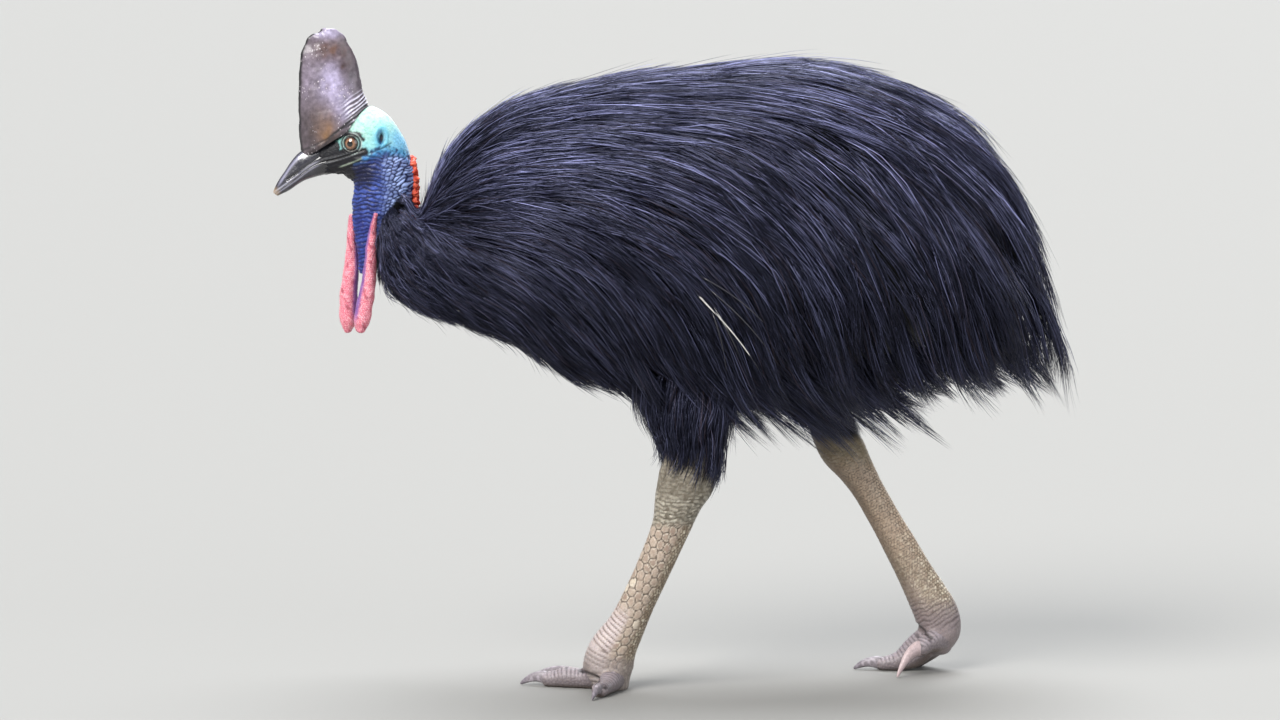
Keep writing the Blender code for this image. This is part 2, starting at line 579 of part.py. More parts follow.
def thigh(side):
    """A feathered thigh: a core with two rings of locks that hang down round the leg."""
    def pieces(grow):
        rows = np.array(on_side(THIGH[side], side))
        draw = np.random.default_rng(SEED + 10 + side)
        locks = []
        for tier, top in enumerate(THIGH_TIERS[side]):
            for k in range(THIGH_LOCKS):
                length, width, swing = draw.uniform(-1, 1, 3)
                low = max(top - THIGH_LOCK_LENGTH * (1 + 0.15 * length), rows[-1][2] - 0.036)
                line, outs = [], []
                for i in range(11):
                    z = top + (low - top) * i / 10
                    row = np.array([np.interp(-z, -rows[:, 2], rows[:, a]) for a in range(5)])
                    turn = 2 * math.pi * (k + 0.5 * tier) / THIGH_LOCKS + 0.10 * swing * i / 10
                    ahead = np.array((math.cos(turn), 0.0, 0.0))
                    aside = np.array((0.0, math.sin(turn), 0.0))
                    lift = 0.010 * math.sin(min(i / 4, 1.0) * math.pi - math.pi / 2) + 0.003 * tier
                    last = rows[-1] - rows[-2]
                    drift = last * min(z - rows[-1][2], 0.0) / last[2]
                    line.append((row[0] + drift[0], row[1], z) + ahead * (row[3] + lift)
                                + aside * (row[4] + lift))
                    outs.append(unit(ahead / row[3] + aside / row[4]))
                spread = THIGH_LOCK_WIDTH * (1 + 0.10 * width)
                locks.append(lock(np.array(line), np.array(outs), spread, grow))
        return [tube(rows, 12, grow=grow, point=False)] + locks
    return pieces


def arc_band(centre, front, aside, reach, up, high, thick, grow):
    """A scute bent round the front of a leg or the top of a toe."""
    path = []
    for i in range(4):
        turn = reach * (i - 1.5) / 1.5
        path.append((*(centre + front * math.cos(turn) + aside * math.sin(turn)), thick, high / 2))
    return tube(path, 4, across=up, grow=grow * 1.5, point=False)


def scute(place, out, up, size, rise, grow):
    """A low six-sided plate on a leg."""
    up = unit(up - out * up.dot(out))
    aside = np.cross(out, up)
    rings = []
    for depth, scale in ((-0.004, 1.0), (rise, 0.82)):
        rings.append(oval(place + out * (depth + (grow if depth > 0 else 0)), up * (size * scale + grow),
                          aside * (size * scale + grow), 6))
    return loft(rings)


def shank(side):
    """A bare leg from the heel joint to the sole, with plates down its front."""
    def pieces(grow):
        rows = on_side(SHANK[side], side)
        solids = [grounded(tube(rows, 10, grow=grow), grow)]
        path = np.array(rows)
        runs = np.concatenate([[0], np.cumsum(np.linalg.norm(np.diff(path[:, :3], axis=0), axis=1))])
        draw = np.random.default_rng(SEED + 30 + side)

        def at(along):
            row = np.array([np.interp(along, runs, path[:, a]) for a in range(5)])
            ahead = np.array([np.interp(along + 0.01, runs, path[:, a]) for a in range(3)])
            run = unit(ahead - np.array([np.interp(along - 0.01, runs, path[:, a]) for a in range(3)]))
            front = np.cross(run, (0.0, 1.0, 0.0))
            front = unit(front) * (-1 if front[0] > 0 else 1)
            return row, run, front
        for i in range(BANDS):
            along = runs[-1] - 0.052 - 0.0165 * i
            row, run, front = at(along)
            aside = np.array((0.0, row[4], 0.0))
            solids.append(arc_band(row[:3], front * row[3], aside, 1.0 - 0.03 * i, run,
                                   0.0125, 0.0030, grow))
        for i in range(SCUTE_ROWS):
            along = runs[-1] - 0.052 - 0.0165 * BANDS - 0.0195 * i
            row, run, front = at(along)
            for k in range(2):
                turn = (k - 0.5) * 0.72 + (0.36 if i % 2 else 0.0) - 0.18
                ahead, aside = front * math.cos(turn), np.array((0, side, 0)) * math.sin(turn)
                spot = row[:3] + ahead * row[3] + aside * row[4]
                out = unit(ahead / row[3] + aside / row[4])
                size = 0.0092 * (1 + 0.10 * draw.uniform(-1, 1))
                solids.append(scute(spot, out, run, size, 0.0026, grow))
        return solids
    return pieces


def toe(side, which):
    """A toe with a flat sole and bent plates over its top."""
    def pieces(grow):
        path = [(x, y, z, high, wide) for x, y, z, wide, high in on_side(TOES[(side, which)], side)]
        run = unit(np.array(path[-1][:3]) - np.array(path[0][:3]))
        across = np.cross(run, (0, 0, 1))
        solids = [grounded(tube(path, 8, across=across, grow=grow), grow)]
        rows = np.array(path)
        for share in TOE_BANDS[which]:
            along = share * (len(rows) - 1)
            row = np.array([np.interp(along, range(len(rows)), rows[:, a]) for a in range(5)])
            up = unit(np.cross(unit(across), run))
            up = up if up[2] > 0 else -up
            solids.append(arc_band(row[:3], up * row[3], unit(across) * row[4], 0.9, run,
                                   0.011, 0.0020, grow))
        return solids
    return pieces


def claw(side, which):
    def pieces(grow):
        path = on_side(TOES[(side, which)], side)
        tip, before = np.array(path[-1][:3]), np.array(path[-2][:3])
        run = unit((tip - before) * (1, 1, 0))
        length, radius = CLAW_LENGTH[which], CLAW_RADIUS[which]
        root = tip - run * 0.006
        if tip[2] > 0.03:
            length *= 0.65
        rows = []
        for t in (0.0, 0.35, 0.7, 1.0):
            centre = root + run * (0.006 + length) * t
            centre[2] = tip[2] * (1 - t * t) + 0.002 * t * t + 0.005 * math.sin(math.pi * t)
            size = radius * (1 - t) ** 0.7 + 0.0012
            rows.append((*centre, size * 1.15, size * 0.85))
        across = np.cross(run, (0, 0, 1))
        return [grounded(tube(rows, 6, across=across, grow=grow), grow)]
    return pieces


def neck(grow):
    """The bare neck, with fleshy bulbs down the nape."""
    path = [(x, 0.0, z, deep, wide) for x, z, deep, wide in NECK]
    draw = np.random.default_rng(SEED + 20)
    back = [(z, x + deep) for x, z, deep, wide in reversed(NECK)]
    bulbs = []
    for i in range(CARUNCLES):
        z = 0.852 - 0.082 * i / (CARUNCLES - 1)
        size = 0.0062 * (1 + 0.18 * draw.uniform(-1, 1))
        place = (curve(back, z) - 0.0005, 0.0048 * (-1) ** i, z)
        bulbs.append(ball(place, (size, size * 0.95, size * 0.9), 6, 3, grow * 1.3))
    return [tube(path, 14, grow=grow)] + bulbs


def cheek(x, z):
    """Half width of the head at a place on its side."""
    top, low = curve(HEAD_TOP, x), curve(HEAD_BOTTOM, x)
    share = min(abs(z - (top + low) / 2) / ((top - low) / 2), 1.0)
    return curve(HEAD_WIDTH, x) * (1 - share ** 2.2) ** (1 / 2.2)


def head(grow):
    """The head, with a ring of lid round each eye and a rim round each ear."""
    solids = [bridge(HEAD_TOP, HEAD_BOTTOM, HEAD_WIDTH, HEAD_STATIONS, 14, grow)]
    for side in (LEFT, RIGHT):
        out = cheek(*EYE) * side
        back = np.array((math.cos(FACE_TURN), math.sin(FACE_TURN) * side, 0.0))
        ahead = np.array((-math.sin(FACE_TURN), math.cos(FACE_TURN) * side, 0.0))
        place = np.array((EYE[0], out, EYE[1])) + ahead * 0.0002
        solids.append(hoop(place, back * 0.0138, (0, 0, 0.0118), 0.0034, 10, 4, grow))
        ear = (EAR[0], (cheek(*EAR) - 0.0004) * side, EAR[1])
        solids.append(hoop(ear, (0.0072, 0, -0.001), (0.001, -0.003 * side, 0.0128), 0.0022, 8, 3, grow))
    return solids


def face_cuts():
    """Pits of the ears and the line of the mouth behind the bill."""
    cuts = []
    for side in (LEFT, RIGHT):
        cuts.append(ball((EAR[0], cheek(*EAR) * side, EAR[1]), (0.0040, 0.0080, 0.0088), 6, 6))
        line = [(x, cheek(x, curve(GAPE, x)) * side, curve(GAPE, x), 0.0010, 0.0042)
                for x in (-0.572, -0.551, -0.530, -0.510)]
        cuts.append(tube(line, 4))
    return cuts


def nostrils():
    cuts = []
    for side in (LEFT, RIGHT):
        path = [(x, curve(BILL_WIDTH, x) * side, z, size, 0.0038)
                for (x, z), size in zip(NOSTRIL, (0.0016, 0.0024, 0.0018))]
        cuts.append(tube(path, 5, start_point=True))
    return cuts


def bill_half(edge, flat, lift):
    """One half of the bill: a rounded outer edge over a flat that follows the gape."""
    def pieces(grow):
        rings = []
        for x in BILL_STATIONS:
            outer = curve(edge, x)
            inner = curve(flat, x) + lift
            wide = curve(BILL_WIDTH, x) + grow
            x = x + (grow if x == BILL_STATIONS[-1] else -GAP / 2)
            high = outer - inner
            sign = math.copysign(1.0, high)
            ring = [(x, wide * math.cos(a), inner + (high + sign * grow) * math.sin(a))
                    for a in (math.pi * i / 8 for i in range(9))]
            ring[0] = (x, wide, inner - sign * grow)
            ring[-1] = (x, -wide, inner - sign * grow)
            rings.append(np.array(ring))
        tip = np.array((BILL_STATIONS[0] - 0.003 - grow, 0.0, rings[0][:, 2].mean()))
        return [loft(rings, tip, None)]
    return pieces


def casque(grow):
    rings = []
    for (fx, fz), (rx, rz), wide in CASQUE:
        centre = np.array(((fx + rx) / 2, 0.0, (fz + rz) / 2))
        half = np.array(((rx - fx) / 2, 0.0, (rz - fz) / 2))
        rings.append(oval(centre, half + unit(half) * grow, np.array((0, wide + grow, 0)), 14, 2.1))
    top = np.array((-0.566, 0.0, 1.084 + grow))
    return [loft(rings, None, top)]


def eye(side):
    def pieces(grow):
        x = EYE[0] + math.sin(FACE_TURN) * EYE_DEPTH
        out = cheek(*EYE) - math.cos(FACE_TURN) * EYE_DEPTH
        return [ball((x, out * side, EYE[1]), (EYE_RADIUS,) * 3, 10, 7, grow)]
    return pieces


def wattle(side):
    def pieces(grow):
        path = [(x, WATTLE_ASIDE * side, z, deep * (1 + 0.09 * (-1) ** i), wide * (1 - 0.07 * (-1) ** i))
                for i, (x, z, deep, wide) in enumerate(WATTLE[side])]
        return [tube(path, 10, grow=grow, start_point=True)]
    return pieces


def wing(side):
    """A stub with bare, curved quills that lie over the coat."""
    def pieces(grow):
        coat = skin_tree(trunk(COAT_BACK, COAT_BELLY, COAT_WIDTH, COAT_STATIONS, CORE_SIDES))
        quills = []
        for (x, z), slope, length in QUILLS:
            near, normal, _, _ = coat.find_nearest((x, 0.3 * side, z))
            root = np.array(near) + np.array(normal) * 0.004
            turn = math.radians(slope)
            droop = math.radians(25) / length

            def way(point, x=x, turn=turn, droop=droop):
                bend = turn - droop * max(point[0] - x, 0.0)
                return np.array((math.cos(bend), 0.0, math.sin(bend)))
            line, _ = follow(coat, root, way, length, QUILL_LIFT, lambda point: True)
            picks = [line[int(round(i * (len(line) - 1) / 5))] for i in range(6)]
            out = np.interp(x, [row[0] for row in WING], [row[1] for row in WING])
            picks[0] = np.array((x, out * side, z))
            radii = [0.0026, 0.0026, 0.0024, 0.0021, 0.0017, 0.0012]
            path = [(*p, r, r) for p, r in zip(picks, radii)]
            quills.append(tube(path, 4, across=(0.0, 0.3, 1.0), grow=grow * 1.5))
        return [tube(on_side(WING, side), 8, grow=grow, start_point=True)] + quills
    return pieces


for thing in list(bpy.data.objects):
    bpy.data.objects.remove(thing)

PLUMAGE = paint("plumage", (0.012, 0.012, 0.018), 0.55)
SHANK_SKIN = paint("shank_skin", (0.27, 0.20, 0.13), 0.60)
FOOT_SKIN = paint("foot_skin", (0.25, 0.22, 0.23), 0.60)
CLAW_HORN = paint("claw_horn", (0.33, 0.31, 0.32), 0.40)
NECK_SKIN = paint("neck_skin", (0.05, 0.09, 0.42), 0.45)
FACE_SKIN = paint("face_skin", (0.35, 0.72, 0.68), 0.50)
BILL_HORN = paint("bill_horn", (0.05, 0.05, 0.06), 0.35)
CASQUE_HORN = paint("casque_horn", (0.16, 0.12, 0.10), 0.35)
EYE_GLOSS = paint("eye_gloss", (0.20, 0.07, 0.03), 0.05)
WATTLE_SKIN = paint("wattle_skin", (0.66, 0.14, 0.17), 0.50)

parts = bpy.data.collections.new("cassowary")
bpy.context.scene.collection.children.link(parts)
base = bpy.data.objects.new("cassowary", None)
parts.objects.link(base)

upper, lower = bill_half(CULMEN, GAPE, GAP / 2), bill_half(JAW, GAPE, -GAP / 2)
made = [node("torso", torso, [neck, wattle(LEFT), wattle(RIGHT), thigh(LEFT), thigh(RIGHT),
                              wing(LEFT), wing(RIGHT)], PLUMAGE),
        node("neck", neck, [], NECK_SKIN, [slanted_block(True, GAP)]),
        node("head", head, [eye(LEFT), eye(RIGHT)], FACE_SKIN, [slanted_block(False)] + face_cuts()),
        node("bill_upper", upper, [], BILL_HORN, nostrils()),
        node("bill_lower", lower, [], BILL_HORN),
        node("casque", casque, [head, upper], CASQUE_HORN)]
for side, word in ((LEFT, "left"), (RIGHT, "right")):
    made += [node("eye_" + word, eye(side), [], EYE_GLOSS),
             node("wattle_" + word, wattle(side), [neck], WATTLE_SKIN),
             node("wing_" + word, wing(side), [], PLUMAGE),
             node("thigh_" + word, thigh(side), [shank(side)], PLUMAGE),
             node("shank_" + word, shank(side), [], SHANK_SKIN)]
    for which in ("middle", "inner", "outer"):
        around = [shank(side)] if which == "middle" else [shank(side), toe(side, "middle")]
        made += [node(f"toe_{which}_{word}", toe(side, which), around, FOOT_SKIN),
                 node(f"claw_{which}_{word}", claw(side, which), [toe(side, which)], CLAW_HORN)]
for thing in made:
    bpy.context.scene.collection.objects.unlink(thing)
    parts.objects.link(thing)
    thing.parent = base
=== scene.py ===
"""The looks of a life-size southern cassowary in mid-stride: skin, horn, scales and coat. Blender 4.5."""
import math

import bpy
import bmesh
import numpy as np
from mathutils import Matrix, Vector
from mathutils.bvhtree import BVHTree


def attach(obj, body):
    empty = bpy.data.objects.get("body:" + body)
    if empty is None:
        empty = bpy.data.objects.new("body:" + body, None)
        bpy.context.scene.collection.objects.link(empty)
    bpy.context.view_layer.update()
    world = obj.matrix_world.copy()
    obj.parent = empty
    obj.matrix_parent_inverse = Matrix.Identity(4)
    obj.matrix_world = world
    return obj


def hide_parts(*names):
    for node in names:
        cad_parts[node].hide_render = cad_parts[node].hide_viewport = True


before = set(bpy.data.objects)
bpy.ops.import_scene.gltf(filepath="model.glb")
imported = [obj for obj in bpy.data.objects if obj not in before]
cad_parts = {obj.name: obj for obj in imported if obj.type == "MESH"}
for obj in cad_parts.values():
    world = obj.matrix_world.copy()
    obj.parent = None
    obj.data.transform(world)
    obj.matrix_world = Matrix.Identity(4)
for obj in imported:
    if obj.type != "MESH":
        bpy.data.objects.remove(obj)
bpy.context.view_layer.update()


# The view. The bird is seen from its left and a little from above, through a long lens,
# and it stands on a plain pale floor under soft studio light.
AIM = Vector((-0.053, 0.0, 0.536))
DISTANCE = 9.5
LOOK_DOWN = math.radians(6.5)

lens = bpy.data.cameras.new("camera")
lens.lens = 162.0
lens.sensor_width = 36.0
camera = bpy.data.objects.new("camera", lens)
camera.location = AIM + Vector((0.0, -math.cos(LOOK_DOWN), math.sin(LOOK_DOWN))) * DISTANCE
camera.rotation_euler = (AIM - camera.location).to_track_quat("-Z", "Y").to_euler()
bpy.context.scene.collection.objects.link(camera)
bpy.context.scene.camera = camera
bpy.context.scene.view_settings.view_transform = "Standard"

# name, place, how wide its soft light spreads in degrees, strength and colour
LAMPS = [("key", (-2.6, -3.4, 4.2), 36, 4.2, (1.0, 0.985, 0.96)),
         ("fill", (3.6, -3.8, 2.2), 50, 1.0, (0.93, 0.96, 1.0)),
         ("top", (0.2, 1.2, 4.4), 40, 4.8, (0.93, 0.96, 1.0)),
         ("back", (1.6, 4.6, 2.6), 45, 1.2, (1.0, 1.0, 1.0))]
for name, place, spread, strength, colour in LAMPS:
    lamp = bpy.data.lights.new(name, "SUN")
    lamp.angle = math.radians(spread)
    lamp.energy = strength
    lamp.color = colour
    stand = bpy.data.objects.new(name, lamp)
    stand.location = place
    stand.rotation_euler = (Vector((0.0, 0.0, 0.5)) - stand.location).to_track_quat("-Z", "Y").to_euler()
    bpy.context.scene.collection.objects.link(stand)


def linear(colour):
    """An sRGB hex colour as the linear RGBA that a shader takes."""
    parts = [int(colour[i:i + 2], 16) / 255 for i in (1, 3, 5)]
    return (*[c / 12.92 if c <= 0.04045 else ((c + 0.055) / 1.055) ** 2.4 for c in parts], 1.0)


def add(tree, kind, inputs=None, stops=None, **settings):
    """Adds a node with its settings, what goes into its sockets, and the stops of its colour ramp."""
    made = tree.nodes.new(kind)
    for name, value in settings.items():
        setattr(made, name, value)
    for name, value in (inputs or {}).items():
        socket = made.inputs[name]
        if isinstance(value, bpy.types.NodeSocket):
            tree.links.new(value, socket)
        else:
            socket.default_value = linear(value) if isinstance(value, str) else value
    for i, (at, colour) in enumerate(stops or []):
        spots = made.color_ramp.elements
        spot = spots[i] if i < 2 else spots.new(at)
        spot.position = at
        spot.color = linear(colour)
    return made


def new_material(name):
    """A material with an empty tree, and its Object coordinates."""
    made = bpy.data.materials.new(name)
    made.use_nodes = True
    tree = made.node_tree
    tree.nodes.clear()
    return made, tree, add(tree, "ShaderNodeTexCoord").outputs["Object"]


def close_material(tree, shader):
    add(tree, "ShaderNodeOutputMaterial", {"Surface": shader.outputs[0]})


backdrop = bpy.context.scene.world or bpy.data.worlds.new("studio")
bpy.context.scene.world = backdrop
backdrop.use_nodes = True
sky = backdrop.node_tree.nodes["Background"]
sky.inputs["Color"].default_value = linear("#e9edf4")
sky.inputs["Strength"].default_value = 0.45

# A matt painted studio floor: even, pale and barely rough.
floor_paint, tree, place = new_material("matt_floor_paint")
close_material(tree, add(tree, "ShaderNodeBsdfPrincipled", {"Base Color": "#83827f", "Roughness": 0.9}))
shape = bmesh.new()
bmesh.ops.create_circle(shape, cap_ends=True, segments=96, radius=60.0)
mesh = bpy.data.meshes.new("studio_floor")
shape.to_mesh(mesh)
shape.free()
mesh.materials.append(floor_paint)
studio_floor = bpy.data.objects.new("studio_floor", mesh)
bpy.context.scene.collection.objects.link(studio_floor)


# The skin. The bird's body, neck, head, thighs, bare legs and toes are one hide, thin and black
# under the coat, blue and wrinkled on the neck, and scaly on the legs. It is lofted from the
# bird's own sections, run together, and then raised into folds, pebbles and scales.
LEFT, RIGHT = -1, 1
SIDES = ((LEFT, "left"), (RIGHT, "right"))
COAT_DEPTH = 0.022        # how deep the hide lies under the solid body's core
BACK = [(-0.474, 0.700), (-0.470, 0.735), (-0.455, 0.760), (-0.432, 0.769), (-0.408, 0.784),
        (-0.385, 0.832), (-0.345, 0.890), (-0.284, 0.932), (-0.200, 0.961), (-0.119, 0.979),
        (0.046, 1.002), (0.211, 1.012), (0.300, 0.998), (0.400, 0.957), (0.470, 0.903),
        (0.520, 0.840), (0.552, 0.765), (0.562, 0.690)]
BELLY = [(-0.474, 0.700), (-0.464, 0.668), (-0.410, 0.632), (-0.317, 0.600), (-0.251, 0.585),
         (-0.185, 0.558), (-0.100, 0.532), (0.050, 0.512), (0.200, 0.505), (0.330, 0.518),
         (0.430, 0.545), (0.510, 0.592), (0.550, 0.640), (0.562, 0.690)]
WIDTH = [(-0.474, 0.000), (-0.466, 0.034), (-0.440, 0.054), (-0.400, 0.068), (-0.350, 0.090),
         (-0.284, 0.118), (-0.165, 0.158), (0.000, 0.190), (0.190, 0.206), (0.350, 0.188),
         (0.460, 0.142), (0.530, 0.082), (0.562, 0.000)]
# x, distance from the middle plane, z, half depth and half width
THIGH = {LEFT: [(0.050, 0.080, 0.600, 0.055, 0.034), (0.036, 0.086, 0.540, 0.058, 0.038),
                (0.030, 0.097, 0.460, 0.050, 0.040), (0.026, 0.104, 0.400, 0.040, 0.036),
                (0.024, 0.102, 0.370, 0.036, 0.031)],
         RIGHT: [(0.155, 0.080, 0.600, 0.055, 0.034), (0.180, 0.086, 0.545, 0.056, 0.038),
                 (0.224, 0.098, 0.480, 0.048, 0.040), (0.258, 0.107, 0.424, 0.040, 0.036),
                 (0.268, 0.106, 0.395, 0.036, 0.031)]}
SHANK = {LEFT: [(0.033, 0.103, 0.390, 0.044, 0.033), (0.024, 0.101, 0.352, 0.047, 0.034),
                (0.011, 0.099, 0.318, 0.040, 0.031), (-0.001, 0.096, 0.275, 0.032, 0.025),
                (-0.029, 0.091, 0.206, 0.0285, 0.022), (-0.053, 0.086, 0.153, 0.0280, 0.022),
                (-0.077, 0.081, 0.102, 0.0315, 0.026), (-0.098, 0.077, 0.064, 0.0390, 0.032),
                (-0.105, 0.075, 0.036, 0.0420, 0.034), (-0.100, 0.075, 0.006, 0.030, 0.027)],
         RIGHT: [(0.262, 0.107, 0.414, 0.034, 0.029), (0.283, 0.105, 0.378, 0.038, 0.031),
                 (0.310, 0.104, 0.337, 0.030, 0.027), (0.334, 0.103, 0.297, 0.026, 0.022),
                 (0.356, 0.102, 0.258, 0.026, 0.020), (0.380, 0.101, 0.216, 0.028, 0.021),
                 (0.405, 0.100, 0.170, 0.030, 0.023), (0.427, 0.100, 0.130, 0.034, 0.027),
                 (0.444, 0.100, 0.096, 0.037, 0.031), (0.450, 0.100, 0.066, 0.034, 0.031),
                 (0.446, 0.100, 0.044, 0.024, 0.024)]}
# x, distance from the middle plane, z, half width and half height
TOES = {(LEFT, "middle"): [(-0.100, 0.075, 0.0198, 0.022, 0.022), (-0.126, 0.070, 0.0190, 0.022, 0.021),
                           (-0.152, 0.064, 0.0153, 0.018, 0.017), (-0.172, 0.059, 0.0162, 0.019, 0.018),
                           (-0.192, 0.054, 0.0126, 0.015, 0.014), (-0.206, 0.050, 0.0117, 0.014, 0.013)],
        (LEFT, "inner"): [(-0.104, 0.062, 0.0180, 0.018, 0.020), (-0.128, 0.046, 0.0162, 0.018, 0.018),
                          (-0.150, 0.032, 0.0126, 0.015, 0.014), (-0.168, 0.021, 0.0126, 0.015, 0.014)],
        (LEFT, "outer"): [(-0.096, 0.088, 0.0180, 0.018, 0.020), (-0.104, 0.114, 0.0162, 0.018, 0.018),
                          (-0.112, 0.136, 0.0126, 0.015, 0.014), (-0.119, 0.158, 0.0117, 0.014, 0.013)],
        (RIGHT, "middle"): [(0.446, 0.100, 0.058, 0.024, 0.026), (0.424, 0.103, 0.046, 0.023, 0.025),
                            (0.403, 0.106, 0.0270, 0.021, 0.024), (0.380, 0.108, 0.0150, 0.019, 0.016),
                            (0.352, 0.110, 0.0098, 0.014, 0.011)],
        (RIGHT, "inner"): [(0.446, 0.088, 0.054, 0.019, 0.022), (0.436, 0.076, 0.055, 0.018, 0.020),
                           (0.425, 0.066, 0.051, 0.015, 0.016), (0.415, 0.058, 0.044, 0.014, 0.014)],
        (RIGHT, "outer"): [(0.446, 0.112, 0.048, 0.019, 0.022), (0.428, 0.131, 0.030, 0.018, 0.020),
                           (0.411, 0.150, 0.0124, 0.015, 0.015), (0.396, 0.167, 0.0098, 0.013, 0.012)]}
HEAD_TOP = [(-0.566, 0.903), (-0.548, 0.914), (-0.523, 0.942), (-0.502, 0.957), (-0.480, 0.950),
            (-0.462, 0.936), (-0.447, 0.914), (-0.436, 0.893), (-0.430, 0.871)]
HEAD_BOTTOM = [(-0.566, 0.843), (-0.548, 0.845), (-0.523, 0.832), (-0.500, 0.815), (-0.430, 0.815)]
HEAD_WIDTH = [(-0.566, 0.017), (-0.548, 0.023), (-0.526, 0.032), (-0.502, 0.038), (-0.477, 0.039),
              (-0.455, 0.034), (-0.440, 0.026), (-0.430, 0.014)]
NECK = [(-0.478, 0.880, 0.044, 0.036), (-0.476, 0.850, 0.050, 0.040), (-0.474, 0.826, 0.048, 0.038),
        (-0.477, 0.800, 0.048, 0.036), (-0.482, 0.776, 0.045, 0.031), (-0.489, 0.751, 0.037, 0.026),
        (-0.495, 0.726, 0.026, 0.020), (-0.503, 0.700, 0.014, 0.013), (-0.509, 0.684, 0.008, 0.008)]
GAPE = [(-0.656, 0.811), (-0.640, 0.822), (-0.619, 0.8365), (-0.586, 0.860), (-0.548, 0.871),
        (-0.506, 0.886)]
EYE = (-0.526, 0.896)
EYE_SIZE = 0.0165
EYE_SUNK = 0.0112         # how far the middle of the eyeball lies inside the face
FACE_TURN = math.radians(18)
EAR = (-0.476, 0.905)
RUFF_EDGE = [(-0.490, 0.700), (-0.483, 0.738), (-0.471, 0.772), (-0.457, 0.796), (-0.4435, 0.806),
             (-0.4315, 0.796), (-0.426, 0.781), (-0.410, 0.781)]


def curve(points, x):
    """Values at x on a smooth line through (x, value) points."""
    xs, ys = np.array(points, float).T
    steps = np.diff(ys) / np.diff(xs)
    slopes = np.concatenate([steps[:1], (steps[1:] + steps[:-1]) / 2, steps[-1:]])
    slopes[np.concatenate([[False], steps[1:] * steps[:-1] <= 0, [False]])] = 0.0
    x = np.clip(x, xs[0], xs[-1])
    i = np.minimum(np.searchsorted(xs, x, side="right") - 1, len(xs) - 2)
    h = xs[i + 1] - xs[i]
    t = (x - xs[i]) / h
    return (ys[i] * (1 + 2 * t) * (1 - t) ** 2 + ys[i + 1] * t * t * (3 - 2 * t)
            + slopes[i] * h * t * (1 - t) ** 2 - slopes[i + 1] * h * t * t * (1 - t))


def unit(vectors):
    return vectors / np.maximum(np.linalg.norm(vectors, axis=-1, keepdims=True), 1e-9)


def fade(value, start, end):
    """0 before start, 1 past end, and a smooth step between."""
    t = np.clip((value - start) / (end - start), 0.0, 1.0)
    return t * t * (3 - 2 * t)


def ripple(points, size, seed, count=9):
    """Smooth random heights from -1 to 1, about size across, from crossing waves."""
    draw = np.random.default_rng(seed)
    total = np.zeros(len(points))
    for _ in range(count):
        run = unit(draw.normal(size=3)) * (2 * np.pi / size) * draw.uniform(0.6, 1.6)
        total += np.sin(points @ run + draw.uniform(0, 2 * np.pi))
    return total / math.sqrt(count) * 0.75


def cells(across, along, uneven=0.35, seed=0.0):
    """Rounded six-sided cells one unit wide: how far inside its border a place lies, and each cell's own number."""
    row = np.round(along / 0.866)
    best = np.full(across.shape, 9.0)
    second = best.copy()
    number = np.zeros(across.shape)
    for down in (-1, 0, 1):
        line = row + down
        shift = 0.5 * (line % 2)
        column = np.round(across - shift)
        for aside in (-1, 0, 1):
            spot = column + aside
            draws = [np.modf(np.abs(np.sin(spot * a + line * b + seed)) * 4375.5)[0]
                     for a, b in ((12.99, 78.23), (39.35, 11.14), (73.16, 52.24))]
            gap = np.hypot(across - spot - shift - uneven * (draws[0] - 0.5),
                           along - line * 0.866 - uneven * (draws[1] - 0.5))
            closer = gap < best
            second = np.where(closer, best, np.minimum(second, gap))
            number = np.where(closer, draws[2], number)
            best = np.where(closer, gap, best)
    return second - best, number


def oval(centre, a, b, sides, power=2.0):
    """Rings round centres with half axes a and b; a power over 2 squares them off."""
    turn = 2 * np.pi * (np.arange(sides) + 0.5) / sides
    c, s = np.cos(turn), np.sin(turn)
    c = np.sign(c) * np.abs(c) ** (2 / power)
    s = np.sign(s) * np.abs(s) ** (2 / power)
    return centre[:, None] + a[:, None] * c[:, None] + b[:, None] * s[:, None]


def rounded(rings, ends=(True, True)):
    """The same rings with a round cap of four smaller rings at each wanted end."""
    caps = []
    for wanted, first, second in ((ends[0], rings[0], rings[1]), (ends[1], rings[-1], rings[-2])):
        middle = first.mean(axis=0)
        out = unit(middle - second.mean(axis=0))
        reach = np.linalg.norm(first - middle, axis=1).mean() * 0.7
        caps.append([middle + (first - middle) * math.cos(t) + out * reach * math.sin(t)
                     for t in (0.4, 0.8, 1.15, 1.4)] if wanted else [])
    return np.array(caps[0][::-1] + list(rings) + caps[1])


def shell(rings):
    """Points and faces of a skin over rings of equal count, closed by a point at each end."""
    rows, count = rings.shape[:2]
    grid = np.arange(rows * count).reshape(rows, count)
    low, high = grid[:-1], grid[1:]
    faces = np.stack([low, np.roll(low, -1, 1), np.roll(high, -1, 1), high], -1).reshape(-1, 4).tolist()
    first, last = rows * count, rows * count + 1
    faces += [(k, j, first) for j, k in zip(grid[0], np.roll(grid[0], -1))]
    faces += [(j, k, last) for j, k in zip(grid[-1], np.roll(grid[-1], -1))]
    points = np.concatenate([rings.reshape(-1, 3), [rings[0].mean(0), rings[-1].mean(0)]])
    return points, faces


def limb(rows, spacing, sides, across=(0.0, 1.0, 0.0), power=2.0):
    """Rings round a bent line of (x, y, z, half depth, half width); the width lies along across."""
    rows = np.array(rows, float)
    across = np.array(across, float)
    along = np.concatenate([[0], np.cumsum(np.linalg.norm(np.diff(rows[:, :3], axis=0), axis=1))])
    at = np.linspace(0, along[-1], max(int(along[-1] / spacing), 4) + 1)
    fine = np.stack([curve(np.stack([along, rows[:, k]], 1), at) for k in range(5)], 1)
    run = unit(np.gradient(fine[:, :3], axis=0))
    side = unit(across - run * (run @ across)[:, None])
    return oval(fine[:, :3], np.cross(run, side) * fine[:, 3:4], side * fine[:, 4:5], sides, power)


